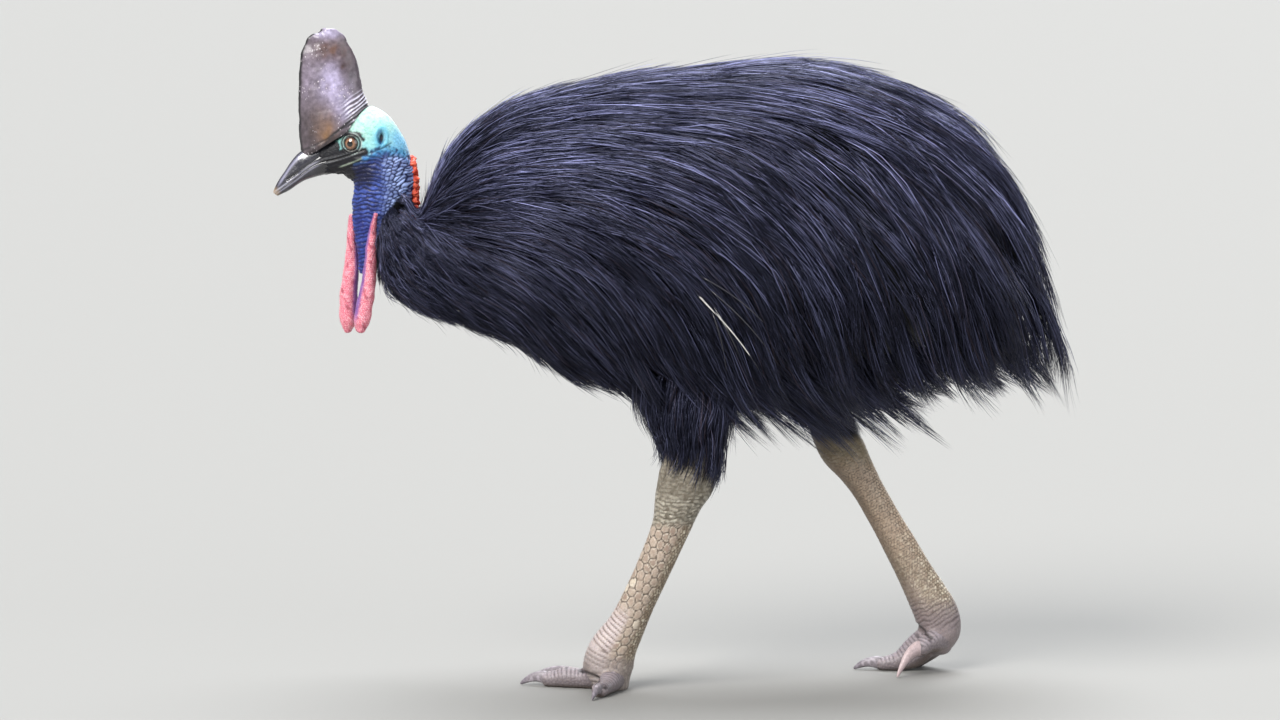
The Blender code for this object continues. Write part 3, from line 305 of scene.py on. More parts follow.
def on_side(rows, side):
    return [(row[0], row[1] * side) + tuple(row[2:]) for row in rows]


def upright(stations, top, low, wide, sides, power):
    """Rings of upright sections at stations along x."""
    flat = np.zeros(len(stations))
    centre = np.stack([stations, flat, (top + low) / 2], 1)
    return oval(centre, np.stack([flat, flat, (top - low) / 2], 1), np.stack([flat, wide, flat], 1),
                sides, power)


def new_object(name, points, faces):
    """An object of a mesh from points and faces, with its faces turned outwards."""
    mesh = bpy.data.meshes.new(name)
    mesh.from_pydata([tuple(p) for p in points], [], faces)
    shape = bmesh.new()
    shape.from_mesh(mesh)
    bmesh.ops.recalc_face_normals(shape, faces=shape.faces[:])
    if shape.calc_volume(signed=True) < 0:
        bmesh.ops.reverse_faces(shape, faces=shape.faces[:])
    shape.to_mesh(mesh)
    shape.free()
    mesh.shade_smooth()
    made = bpy.data.objects.new(name, mesh)
    bpy.context.scene.collection.objects.link(made)
    return made


def settled(thing):
    """Makes the modifiers' result the object's own mesh, and removes them."""
    bpy.context.view_layer.update()
    result = bpy.data.meshes.new_from_object(thing.evaluated_get(bpy.context.evaluated_depsgraph_get()))
    thing.modifiers.clear()
    thing.data = result
    result.name = thing.name
    return thing


def run_together(name, solids, voxel, passes):
    """One closed skin round solids that run into each other, with its creases smoothed."""
    points, faces = [], []
    for solid_points, solid_faces in solids:
        start = sum(len(p) for p in points)
        points.append(solid_points)
        faces += [[corner + start for corner in face] for face in solid_faces]
    thing = new_object(name, np.concatenate(points), faces)
    remesh = thing.modifiers.new("Remesh", "REMESH")
    remesh.mode = "VOXEL"
    remesh.voxel_size = voxel
    relax = thing.modifiers.new("Smooth", "SMOOTH")
    relax.factor = 0.5
    relax.iterations = passes
    return settled(thing)


def part_points(thing):
    """Points and outward directions of an object's mesh, as arrays."""
    mesh = thing.data
    points = np.empty(len(mesh.vertices) * 3)
    mesh.vertices.foreach_get("co", points)
    normals = np.empty(len(mesh.vertices) * 3)
    mesh.vertex_normals.foreach_get("vector", normals)
    return points.reshape(-1, 3), normals.reshape(-1, 3)


def move_points(thing, points):
    thing.data.vertices.foreach_set("co", points.astype(np.float32).ravel())
    thing.data.update()


def set_tone(thing, colours):
    """Stores a linear colour for each point, which the material reads."""
    layer = thing.data.attributes.new("tone", "FLOAT_COLOR", "POINT")
    rgba = np.concatenate([colours, np.ones((len(colours), 1))], 1)
    layer.data.foreach_set("color", rgba.astype(np.float32).ravel())


def tint(base, colour, share):
    """Colours mixed towards one hex colour by a share for each point."""
    return base + (np.array(linear(colour)[:3]) - base) * np.clip(share, 0, 1)[:, None]


def near_line(points, start, end):
    """Distance in the side view from points to a straight line between two (x, z) places."""
    flat = points[:, [0, 2]]
    start, run = np.array(start), np.array(end) - np.array(start)
    share = np.clip((flat - start) @ run / run.dot(run), 0, 1)
    return np.linalg.norm(flat - start - share[:, None] * run, axis=1)


def beside(points, rows, front):
    """Where points lie beside a bent line: how far along, the turn round it from front, how far off, and its size."""
    rows = np.array(rows, float)
    starts, runs = rows[:-1, :3], np.diff(rows[:, :3], axis=0)
    lengths = np.linalg.norm(runs, axis=1)
    share = np.clip(((points[:, None] - starts) * runs).sum(-1) / lengths ** 2, 0, 1)
    away = points[:, None] - starts - runs * share[..., None]
    k = np.linalg.norm(away, axis=2).argmin(1)
    every = np.arange(len(points))
    away, share, run = away[every, k], share[every, k], unit(runs)[k]
    size = rows[k, 3:5].mean(1) * (1 - share) + rows[k + 1, 3:5].mean(1) * share
    ahead = unit(np.array(front) - run * (run @ np.array(front))[:, None])
    turn = np.arctan2((away * np.cross(run, ahead)).sum(1), (away * ahead).sum(1))
    along = np.concatenate([[0], np.cumsum(lengths)])[k] + lengths[k] * share
    return along, turn, np.linalg.norm(away, axis=1) - size, size


# The trunk and thighs, which only show through the coat, stay coarse.
reach = np.linspace(0, np.pi, 46)
first, last = BACK[0][0] + 0.2 * COAT_DEPTH, BACK[-1][0] - COAT_DEPTH
stations = first + (last - first) * (1 - np.cos(reach)) / 2
stations = stations[1:-1]
sunk = COAT_DEPTH * (0.2 + 0.8 * fade(stations, -0.42, -0.25))
trunk_rings = upright(stations, curve(BACK, stations) - sunk, curve(BELLY, stations) + sunk,
                      np.maximum(curve(WIDTH, stations) - sunk, 0.008), 40, 2.15)
skin = new_object("skin", *shell(rounded(trunk_rings)))

# The head and neck need the finest mesh, for their folds; the legs need it for their scales.
stations = np.linspace(HEAD_TOP[0][0] - 0.004, HEAD_TOP[-1][0], 40)
head_rings = upright(stations, curve(HEAD_TOP, stations), curve(HEAD_BOTTOM, stations),
                     curve(HEAD_WIDTH, stations), 48, 2.2)
neck_rings = limb([(x, 0.0, z, deep, wide) for x, z, deep, wide in NECK], 0.006, 48)
pieces = [run_together("skin_head", [shell(rounded(head_rings)), shell(rounded(neck_rings))], 0.00168, 14)]
for side, word in SIDES:
    solids = [shell(rounded(limb(on_side(SHANK[side], side), 0.006, 40)))]
    for which in ("middle", "inner", "outer"):
        rows = [(x, y, z, high, wide) for x, y, z, wide, high in on_side(TOES[(side, which)], side)]
        run = np.array(rows[-1][:3]) - np.array(rows[0][:3])
        solids.append(shell(rounded(limb(rows, 0.004, 28, np.cross(run, (0, 0, 1))))))
    leg = run_together("skin_leg_" + word, solids, 0.0023, 8)
    pieces.append(leg)
    rows = [(x, y, z, deep * 0.80, wide * 0.80) for x, y, z, deep, wide in on_side(THIGH[side], side)]
    pieces.append(new_object("skin_thigh_" + word, *shell(rounded(limb(rows, 0.02, 32)))))
helpers = bpy.data.collections.new("skin_parts")
bpy.context.scene.collection.children.link(helpers)
for piece in pieces:
    bpy.context.scene.collection.objects.unlink(piece)
    helpers.objects.link(piece)
join = skin.modifiers.new("Join", "BOOLEAN")
join.operation = "UNION"
join.operand_type = "COLLECTION"
join.collection = helpers
join.solver = "MANIFOLD"
settled(skin)
for piece in pieces:
    bpy.data.objects.remove(piece)
bpy.data.collections.remove(helpers)
skin.data.materials.clear()

points, normals = part_points(skin)
x, y, z = points.T
lift = np.zeros(len(points))
colours = np.tile(np.array(linear("#0b0b0e")[:3]), (len(points), 1))

# Head and neck: lids, brow, ear, gape, throat folds, and pebbles that grow coarser towards the nape.
face = (x < -0.41) & (z > 0.66) & (np.abs(y) < 0.06)
p = points[face]
n = normals[face]
raised = np.zeros(len(p))
down_neck = (0.905 - p[:, 2]) / 0.2
neck_line = curve([(z, x) for x, z, *_ in reversed(NECK)], p[:, 2])
to_nape = fade(p[:, 0] - neck_line, -0.012, 0.026)
below_cheek = p[:, 2] - curve([(-0.566, 0.868), (-0.530, 0.868), (-0.502, 0.878), (-0.470, 0.888),
                               (-0.449, 0.884), (-0.430, 0.872)], p[:, 0])
bare = fade(-below_cheek + 0.004 * ripple(p, 0.02, 3), -0.008, 0.012)
warp = ripple(p, 0.022, 5) * 0.004
around = np.abs(p[:, 1]) * 1.25 + np.sign(p[:, 1]) * 0.001
pebble_edge, pebble_tone = cells((p[:, 0] + 0.35 * p[:, 2] + 0.5 * warp) / 0.0088 + around / 0.014,
                                 (p[:, 2] - 0.42 * p[:, 0] + 0.5 * warp) / 0.0066, 0.55)
pebbles = 1 - np.exp(-(pebble_edge / 0.24) ** 2)
fold_wave = (p[:, 2] + 0.20 * np.abs(p[:, 0] + 0.50) + 0.45 * warp + 0.0008 * ripple(p, 0.010, 9)) / 0.0068
folds = 1 - np.exp(-((0.5 - np.abs(np.modf(fold_wave)[0] - 0.5)) / 0.20) ** 2)
raised += bare * (to_nape * 0.0020 * pebbles + (1 - to_nape) * (0.0015 * folds + 0.0005 * pebbles))
raised -= bare * 0.0007
raised += 0.0007 * bare * ripple(p, 0.017, 8)

side_of = np.sign(p[:, 1])
cheek_wide = curve(HEAD_WIDTH, p[:, 0])
eye_back = (p[:, 0] - EYE[0]) / math.cos(FACE_TURN)
eye_up = p[:, 2] - EYE[1]
eye_gap = np.hypot(eye_back, eye_up * 1.06)
on_cheek = fade(np.abs(p[:, 1]), 0.012, 0.020)
raised += on_cheek * (0.0026 * np.exp(-((eye_gap - 0.0137) / 0.0013) ** 2)
                      + 0.0010 * np.exp(-((eye_gap - 0.0180) / 0.0010) ** 2)
                      - 0.0010 * np.exp(-((eye_gap - 0.0159) / 0.0009) ** 2)
                      - 0.0080 * fade(-eye_gap, -0.0124, -0.0110))
brow = np.minimum(near_line(p, (-0.549, 0.9065), (-0.534, 0.9125)),
                  near_line(p, (-0.534, 0.9125), (-0.511, 0.9095)))
raised += on_cheek * 0.0024 * np.exp(-(brow / 0.0028) ** 2)
ear = np.hypot((p[:, 0] - EAR[0] - 0.12 * (p[:, 2] - EAR[1])) / 0.0038, (p[:, 2] - EAR[1]) / 0.0092)
ear_rim = np.hypot((p[:, 0] - EAR[0]) / 0.0095, (p[:, 2] - EAR[1] - 0.002) / 0.0155)
raised += on_cheek * (-0.0060 * fade(-ear, -1.25, -0.75) + 0.0014 * np.exp(-((ear_rim - 1) / 0.20) ** 2)
                      - 0.0008 * np.exp(-((ear_rim - 0.62) / 0.18) ** 2))
cheek_crease = np.minimum(near_line(p, (-0.498, 0.880), (-0.472, 0.890)),
                          near_line(p, (-0.472, 0.890), (-0.460, 0.897)))
raised -= on_cheek * 0.0011 * np.exp(-(cheek_crease / 0.0016) ** 2)
gape = np.abs(p[:, 2] - curve(GAPE, p[:, 0]))
gape_here = fade(-p[:, 0], 0.500, 0.508)
raised += gape_here * (0.0010 * np.exp(-((gape - 0.0034) / 0.0014) ** 2) - 0.0016 * np.exp(-(gape / 0.0013) ** 2))
jaw_fold = np.minimum(near_line(p, (-0.548, 0.856), (-0.524, 0.865)), near_line(p, (-0.524, 0.865), (-0.508, 0.872)))
raised += 0.0012 * np.exp(-(jaw_fold / 0.0016) ** 2)
raised += 0.00018 * ripple(p, 0.0045, 12)

tone = np.tile(np.array(linear("#a8d2c4")[:3]), (len(p), 1))
tone = tint(tone, "#bddccf", fade(p[:, 2], 0.925, 0.945) * 0.7)
tone = tint(tone, "#7cc2b4", 0.55 * fade(ripple(p, 0.011, 24), 0.0, 0.8))
tone = tint(tone, "#7cc0ad", fade(-p[:, 0], 0.525, 0.548) * 0.75)
tone = tint(tone, "#93d0d2", fade(-below_cheek + 0.006 * ripple(p, 0.02, 21), -0.046, -0.012) * 0.9)
tone = tint(tone, "#62b3cc", 0.8 * np.exp(-((ear_rim - 0.9) / 0.5) ** 2) * on_cheek)
behind_ear = fade(p[:, 0], -0.470, -0.450)
tone = tint(tone, "#74b4d8", behind_ear * fade(-below_cheek, -0.050, -0.018) * 0.85)
mottled = fade(ripple(p, 0.008, 27), 0.1, 0.5) * np.exp(-((below_cheek - 0.001) / 0.007) ** 2)
tone = tint(tone, "#4796c8", fade(-below_cheek + 0.003 * ripple(p, 0.012, 22), -0.012, 0.006))
tone = tint(tone, "#1e3172", fade(-below_cheek + 0.004 * ripple(p, 0.015, 23), -0.002, 0.018))
tone = tint(tone, "#1c2560", fade(-p[:, 0], 0.462, 0.505) * fade(-below_cheek, 0.000, 0.02) * 0.85)
tone = tint(tone, "#101d4a", mottled * 0.85)
# Painted highlight: the tops of the nape's pebbles and the crests of the throat's folds are tinted pale blue, and
# painted shade darkens the grooves between them.
tone = tint(tone, "#b4c9ff", bare * to_nape * pebbles * (0.45 + 0.85 * pebble_tone ** 1.3)
            * fade(-p[:, 2], -0.885, -0.865))
tone = tint(tone, "#6684ee", bare * (1 - to_nape) * folds * (0.05 + 0.46 * pebble_tone)
            * (0.45 + 0.55 * fade(-p[:, 2], -0.850, -0.825)))
tone = tint(tone, "#0c0e30", bare * (to_nape * (1 - pebbles) + (1 - to_nape) * (1 - folds)) * 0.90)
tone = tint(tone, "#1d2478", fade(-p[:, 2], -0.800, -0.760) * 0.45)
black = np.zeros(len(p))
for start, end, size in (((-0.580, 0.872), (-0.520, 0.876), 0.0105), ((-0.572, 0.884), (-0.556, 0.888), 0.0105),
                         ((-0.566, 0.852), (-0.536, 0.860), 0.0120), ((-0.545, 0.9080), (-0.532, 0.9125), 0.0016),
                         ((-0.532, 0.9125), (-0.512, 0.9105), 0.0024), ((-0.512, 0.9105), (-0.506, 0.903), 0.0012),
                         ((-0.520, 0.876), (-0.504, 0.884), 0.0050), ((-0.556, 0.848), (-0.530, 0.846), 0.0090)):
    black = np.maximum(black, fade(-near_line(p, start, end) + 0.0012 * ripple(p, 0.006, 31), -size - 0.0035, -size))
throat = fade(-near_line(p, (-0.545, 0.846), (-0.505, 0.846)), -0.030, -0.008)
tone = tint(tone, "#0f1130", throat * 0.90)
tone = tint(tone, "#15151b", black)
seam = np.minimum(near_line(p, (-0.500, 0.9570), (-0.559, 0.9060)), near_line(p, (-0.559, 0.9060), (-0.573, 0.8890)))
tone = tint(tone, "#0e0f14", np.exp(-(seam / 0.0024) ** 2))
tone = tint(tone, "#0d0d14", on_cheek * np.exp(-((eye_gap - 0.0161) / 0.0025) ** 2))
tone = tint(tone, "#b9c9c4", on_cheek * np.exp(-((eye_gap - 0.0187) / 0.0008) ** 2)
            * fade(eye_back, -0.006, 0.006) * 0.8)
tone = tint(tone, "#8f8d86", on_cheek * np.exp(-((eye_gap - 0.0128) / 0.0008) ** 2) * 0.75)
# Painted shade: the ear's opening is darkened.
tone = tint(tone, "#0a1020", on_cheek * fade(-ear, -1.2, -0.7))
tone = tint(tone, "#17507e", on_cheek * np.exp(-((ear_rim - 0.60) / 0.20) ** 2) * (0.45 + 0.4 * (p[:, 0] < EAR[0])))
# Painted shade darkens the crease across the cheek.
tone = tint(tone, "#123a55", on_cheek * np.exp(-(cheek_crease / 0.0012) ** 2) * 0.8)
# Painted highlight: pale lines along the ridges beside the gape and along the jaw fold; painted shade: the mouth's slit
# between the bills is near black.
tone = tint(tone, "#8d8f93", gape_here * np.exp(-((gape - 0.0032) / 0.0007) ** 2) * 0.35 * (p[:, 2] > 0.80))
tone = tint(tone, "#050507", gape_here * np.exp(-(gape / 0.0010) ** 2))
tone = tint(tone, "#a9b8a4", np.exp(-(jaw_fold / 0.0011) ** 2) * 0.6 * fade(p[:, 0], -0.549, -0.540))
feathered = fade(curve(RUFF_EDGE, p[:, 0]) - p[:, 2], -0.006, 0.004) * fade(p[:, 0], -0.490, -0.486)
lift[face] = raised * (1 - feathered)
colours[face] = tint(tone, "#0b0b0e", feathered)

# Legs: transverse plates down the front of the foot, six-sided ones above, and small grains behind.
legs = z < 0.405
p = points[legs]
closest = np.full(len(p), 9.0)
raised = np.zeros(len(p))
tone = np.zeros((len(p), 3))
for side, _ in SIDES:
    for which in ("shank", "middle", "inner", "outer"):
        if which == "shank":
            along, turn, off, size = beside(p, on_side(SHANK[side], side), (-1.0, 0.0, 0.0))
        else:
            rows = [(a, b, c, high, wide) for a, b, c, wide, high in on_side(TOES[(side, which)], side)]
            along, turn, off, size = beside(p, rows, (0.0, 0.0, 1.0))
        here = (off < closest) & (np.sign(p[:, 1]) == side)
        closest = np.where(here, off, closest)
        ahead = np.cos(turn)
        big_edge, big_tone = cells(turn * size / 0.0150 + 0.25, along / 0.0178, 0.30, side)
        small_edge, small_tone = cells(turn * size / 0.0058, along / 0.0058, 0.5, 3.0 + side)
        big, small = (1 - np.exp(-(edge / reach) ** 2) for edge, reach in ((big_edge, 0.12), (small_edge, 0.26)))
        if which == "shank":
            whole = np.linalg.norm(np.diff(np.array(SHANK[side])[:, :3], axis=0), axis=1).sum()
            from_sole = whole - along
            band = (from_sole + 0.004 * np.abs(turn)) / 0.0080
            bands = 1 - np.exp(-((0.5 - np.abs(np.modf(band)[0] - 0.5)) / 0.13) ** 2)
            low = fade(-from_sole, -0.150, -0.110) * fade(ahead, 0.0, 0.45)
            front = fade(ahead, -0.75, -0.40)
            hock = p[:, 2]
            top, foot = (0.326, 0.276) if side == LEFT else (0.395, 0.350)
            on_hock = fade(hock, foot - 0.006, foot + 0.010)
            crease = on_hock * (0.35 + 0.65 * fade(-hock, -top - 0.010, -top + 0.010))
            crease_wave = (hock + 0.10 * p[:, 0] + 0.003 * ripple(p, 0.03, 41)) / 0.0072
            creases = 1 - np.exp(-((0.5 - np.abs(np.modf(crease_wave)[0] - 0.5)) / 0.15) ** 2) * (0.4 + 0.6 * small_tone)
            if side == RIGHT:
                front = front * 0.35
                low = low * 0.6
            plates = front * (low * bands + (1 - low) * big) + (1 - front) * small
            plates = plates * (1 - crease) + crease * creases
            depth = 0.0014 * front + 0.0007 * (1 - front)
            skin_tone = tint(np.tile(np.array(linear("#b3a293")[:3]), (len(p), 1)), "#8a7567",
                             front * big_tone * 0.8)
            skin_tone = tint(skin_tone, "#85735e", (1 - front) * 0.8)
            # Painted highlight: the tops of some grains are paler.
            skin_tone = tint(skin_tone, "#ddd2bc", (1 - front) * small * small_tone ** 1.5)
            rim = np.exp(-((big_edge - 0.24) / 0.08) ** 2)
            skin_tone = tint(skin_tone, "#e2d8c6", front * (1 - low) * rim * (0.2 + 0.6 * big_tone))
            skin_tone = tint(skin_tone, "#d9cdbb", front * (1 - low) * big * (big_tone > 0.93) * 0.7)
            skin_tone = tint(skin_tone, "#2c2219", front * (1 - low) * (1 - big) * 0.92)
            skin_tone = tint(skin_tone, "#3f3222", (1 - front) * (1 - small) * 0.75)
            skin_tone = tint(skin_tone, "#c6b9b8", front * low * bands * 0.85)
            skin_tone = tint(skin_tone, "#4e4040", front * low * (1 - bands) * 0.8)
            skin_tone = tint(skin_tone, "#5f594c", on_hock * (0.85 if side == LEFT else 0.35))
            # Painted highlight on the ridges between the hock's creases, and painted shade in the creases.
            skin_tone = tint(skin_tone, "#cfc8b8", crease * creases * small_tone * 0.8)
            skin_tone = tint(skin_tone, "#40382d", crease * (1 - creases) * 0.85)
            skin_tone = tint(skin_tone, "#8d8380", fade(-from_sole, -0.075, -0.035) * 0.75)
            if side == RIGHT:
                skin_tone = tint(skin_tone, "#c9ae96", fade(p[:, 2], 0.14, 0.26) * small * 0.6)
                skin_tone = tint(skin_tone, "#75684a", fade(p[:, 2], 0.33, 0.38) * 0.75)
                skin_tone = tint(skin_tone, "#4c3a2e", fade(ahead, 0.35, 0.85) * small * 0.6)
                skin_tone = tint(skin_tone, "#84777a", fade(-p[:, 2], -0.14, -0.09) * 0.7)
                wrinkle = (p[:, 2] - 0.55 * p[:, 0] + 0.003 * ripple(p, 0.03, 44)) / 0.0085
                wrinkles = 1 - np.exp(-((0.5 - np.abs(np.modf(wrinkle + 60)[0] - 0.5)) / 0.16) ** 2)
                ankle = fade(-p[:, 2], -0.135, -0.110) * fade(p[:, 2], 0.070, 0.085)
                plates = plates * (1 - ankle) + wrinkles * ankle
                # Painted shade in the ankle's wrinkles.
                skin_tone = tint(skin_tone, "#3f3431", ankle * (1 - wrinkles) * 0.7)
        else:
            band = (along + 0.0025 * np.abs(turn)) / 0.0068
            bands = 1 - np.exp(-((0.5 - np.abs(np.modf(band)[0] - 0.5)) / 0.14) ** 2)
            front = fade(ahead, 0.05, 0.45)
            plates = front * bands + (1 - front) * small
            depth = 0.0009 * front + 0.0006 * (1 - front)
            skin_tone = tint(np.tile(np.array(linear("#857b7d")[:3]), (len(p), 1)), "#a0959a",
                             front * bands * 0.6)
            skin_tone = tint(skin_tone, "#4a4348", front * (1 - bands) * 0.8)
            skin_tone = tint(skin_tone, "#5d5458", (1 - front) * (1 - small) * 0.6)
            skin_tone = tint(skin_tone, "#6f6156", fade(-ahead, 0.4, 0.8) * 0.6)
        raised[here] = (depth * (plates - 0.6))[here]
        tone[here] = skin_tone[here]
fold = np.minimum(near_line(p, (-0.152, 0.030), (-0.128, 0.026)), near_line(p, (-0.128, 0.026), (-0.108, 0.016)))
fold = np.where(p[:, 1] < 0, fold, 9.0)
raised -= 0.0035 * np.exp(-(fold / 0.0028) ** 2)
# Painted shade in the fold where the left foot's toes bend.
tone = tint(tone, "#1f1a18", np.exp(-(fold / 0.0030) ** 2) * 0.9)
bend = np.where(p[:, 1] > 0, near_line(p, (0.412, 0.078), (0.434, 0.062)), 9.0)
raised -= 0.0030 * np.exp(-(bend / 0.0028) ** 2)
# Painted shade in the crease where the right foot's toe bends.
tone = tint(tone, "#2a2220", np.exp(-(bend / 0.0030) ** 2) * 0.85)
under_coat = fade(p[:, 2], 0.385, 0.405)[:, None]
lift[legs] = raised * (1 - under_coat[:, 0])
colours[legs] = tone * (1 - under_coat) + colours[legs] * under_coat

moved = points + normals * lift[:, None]
sole = moved[:, 2] < 0.0012
moved[sole, 2] = np.maximum(moved[sole, 2], 0.0)
move_points(skin, moved)
set_tone(skin, colours)

# Living hide, kept supple: a soft gloss that comes and goes with a fine mottle, over a fine grain.
hide, tree, place = new_material("living_hide")
tone_in = add(tree, "ShaderNodeAttribute", attribute_name="tone").outputs["Color"]
mottle = add(tree, "ShaderNodeTexNoise", {"Vector": place, "Scale": 260.0, "Detail": 4.0, "Roughness": 0.6})
shade = add(tree, "ShaderNodeMapRange", {"Value": mottle.outputs["Fac"], "From Min": 0.3, "From Max": 0.7,
                                         "To Min": 0.76, "To Max": 1.10})
grain = add(tree, "ShaderNodeTexVoronoi", {"Vector": place, "Scale": 480.0, "Smoothness": 0.6},
            feature="SMOOTH_F1")
fine = add(tree, "ShaderNodeTexNoise", {"Vector": place, "Scale": 1400.0, "Detail": 2.0})
both = add(tree, "ShaderNodeMath", {0: grain.outputs["Distance"], 1: fine.outputs["Fac"]}, operation="ADD")
pale = add(tree, "ShaderNodeMix", {"Factor": 1.0, "A": tone_in, "B": shade.outputs[0]},
           data_type="RGBA", blend_type="MULTIPLY")
pale = [s for s in pale.outputs if s.type == "RGBA"][0]
gloss = add(tree, "ShaderNodeMapRange", {"Value": mottle.outputs["Fac"], "To Min": 0.26, "To Max": 0.52})
bump = add(tree, "ShaderNodeBump", {"Height": both.outputs[0], "Strength": 0.35, "Distance": 0.0008})
close_material(tree, add(tree, "ShaderNodeBsdfPrincipled", {
    "Base Color": pale, "Roughness": gloss.outputs[0], "Normal": bump.outputs[0], "IOR": 1.42,
    "Subsurface Weight": 0.06, "Subsurface Radius": (0.004, 0.002, 0.001), "Subsurface Scale": 1.0}))
skin.data.materials.append(hide)
skin.data.shade_smooth()
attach(skin, "root")
flesh = ["torso", "neck", "head"]
for _, word in SIDES:
    flesh += [f"{part}_{word}" for part in ("thigh", "shank", "toe_middle", "toe_inner", "toe_outer")]
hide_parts(*flesh)

# The eyes. A wide black pupil in a large brown iris, behind thick lids. Each is one glass ball,
# painted from behind as a taxidermist's eye is, and seated deep in its socket.
IRIS_EDGE = 0.0108
PUPIL_EDGE = 0.0047


def cheek(x, z):
    """How far the head's side stands from the middle plane at a place in the side view."""
    top, low = curve(HEAD_TOP, x), curve(HEAD_BOTTOM, x)
    share = abs(z - (top + low) / 2) / ((top - low) / 2)
    return curve(HEAD_WIDTH, x) * (1 - min(share, 1.0) ** 2.2) ** (1 / 2.2)


# Glass over paint: a hard bright reflection, and colour that lies under it.
glass, tree, place = new_material("painted_glass")
paint = add(tree, "ShaderNodeAttribute", attribute_name="tone").outputs["Color"]
close_material(tree, add(tree, "ShaderNodeBsdfPrincipled", {
    "Base Color": paint, "Roughness": 0.12, "IOR": 1.5, "Coat Weight": 1.0, "Coat Roughness": 0.02}))
for side, word in SIDES:
    gaze = np.array((-math.sin(FACE_TURN), side * math.cos(FACE_TURN), 0.0))
    middle = np.array((EYE[0], side * cheek(*EYE), EYE[1])) - gaze * EYE_SUNK
    up = np.array((0.0, 0.0, 1.0))
    level = np.cross(up, gaze)
    polar = np.radians(np.concatenate([np.linspace(1.5, 60, 44), np.linspace(68, 175, 16)]))
    size = EYE_SIZE * (1 + 0.05 * np.exp(-(polar / 0.55) ** 2))
    reach, rise = size * np.sin(polar), size * np.cos(polar)
    rings = oval(middle + gaze * rise[:, None], level * reach[:, None], up * reach[:, None], 64)
    eye = new_object(f"eye_ball_{word}", *shell(rings))
    p, _ = part_points(eye)
    off = p - middle
    out = np.linalg.norm(off - gaze * (off @ gaze)[:, None], axis=1)
    turn = np.arctan2(off @ up, off @ level)
    streak = np.sin(turn * 41 + 3 * np.sin(turn * 7)) * np.sin(turn * 23 + 1.7)
    tone = np.tile(np.array(linear("#6e4a34")[:3]), (len(p), 1))
    tone = tint(tone, "#9a7052", 0.8 * np.exp(-((out - 0.0064) / 0.0016) ** 2))
    tone = tint(tone, "#4a2d1e", 0.5 * fade(streak, 0.0, 0.9))
    tone = tint(tone, "#24140e", fade(out, IRIS_EDGE - 0.0032, IRIS_EDGE))
    tone = tint(tone, "#0f0b0a", fade(out, IRIS_EDGE - 0.0004, IRIS_EDGE + 0.0005))
    tone = tint(tone, "#050404", fade(-out, -PUPIL_EDGE - 0.0003, -PUPIL_EDGE + 0.0002))
    tone = tint(tone, "#0f0b0a", fade(-(off @ gaze), -0.002, 0.0))
    set_tone(eye, tone)
    eye.data.materials.append(glass)
    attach(eye, "root")
    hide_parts(f"eye_{word}")


# The bill. Two halves of dark horn that meet along the gape, with a slit nostril low on each side
# of the upper one and a groove above it; the tip is worn to a paler tan.
CULMEN = [(-0.656, 0.814), (-0.650, 0.828), (-0.639, 0.845), (-0.627, 0.863), (-0.614, 0.878),
          (-0.594, 0.889), (-0.566, 0.902)]
JAW = [(-0.650, 0.807), (-0.630, 0.8165), (-0.606, 0.832), (-0.576, 0.8415), (-0.566, 0.8435)]
BILL_WIDTH = [(-0.656, 0.003), (-0.640, 0.007), (-0.614, 0.011), (-0.590, 0.014), (-0.566, 0.0172)]
MOUTH_GAP = 0.0006
NOSTRIL = ((-0.6325, 0.8350), (-0.6235, 0.8412), (-0.6145, 0.8480))

# Horn, grown in layers and polished by use: a wet-looking gloss over fine lengthwise streaks.
bill_horn, tree, place = new_material("polished_bill_horn")
horn_tone = add(tree, "ShaderNodeAttribute", attribute_name="tone").outputs["Color"]
stretch = add(tree, "ShaderNodeMapping", {"Vector": place, "Rotation": (0.0, math.radians(42), 0.0),
                                          "Scale": (60.0, 900.0, 900.0)})
streaks = add(tree, "ShaderNodeTexNoise", {"Vector": stretch.outputs[0], "Scale": 1.0, "Detail": 3.0})
wear = add(tree, "ShaderNodeTexNoise", {"Vector": place, "Scale": 190.0, "Detail": 4.0})
gloss = add(tree, "ShaderNodeMapRange", {"Value": wear.outputs["Fac"], "From Min": 0.35, "From Max": 0.7,
                                         "To Min": 0.16, "To Max": 0.36})
bump = add(tree, "ShaderNodeBump", {"Height": streaks.outputs["Fac"], "Strength": 0.25, "Distance": 0.0005})
close_material(tree, add(tree, "ShaderNodeBsdfPrincipled", {
    "Base Color": horn_tone, "Roughness": gloss.outputs[0], "Normal": bump.outputs[0], "IOR": 1.54,
    "Coat Weight": 1.0, "Coat Roughness": 0.10}))
stations = -0.6555 + 0.0965 * np.linspace(0, 1, 130) ** 1.15
sides = np.stack([curve(BILL_WIDTH, stations)] * 2) * np.sqrt(np.clip((stations + 0.6568) / 0.006, 0, 1))
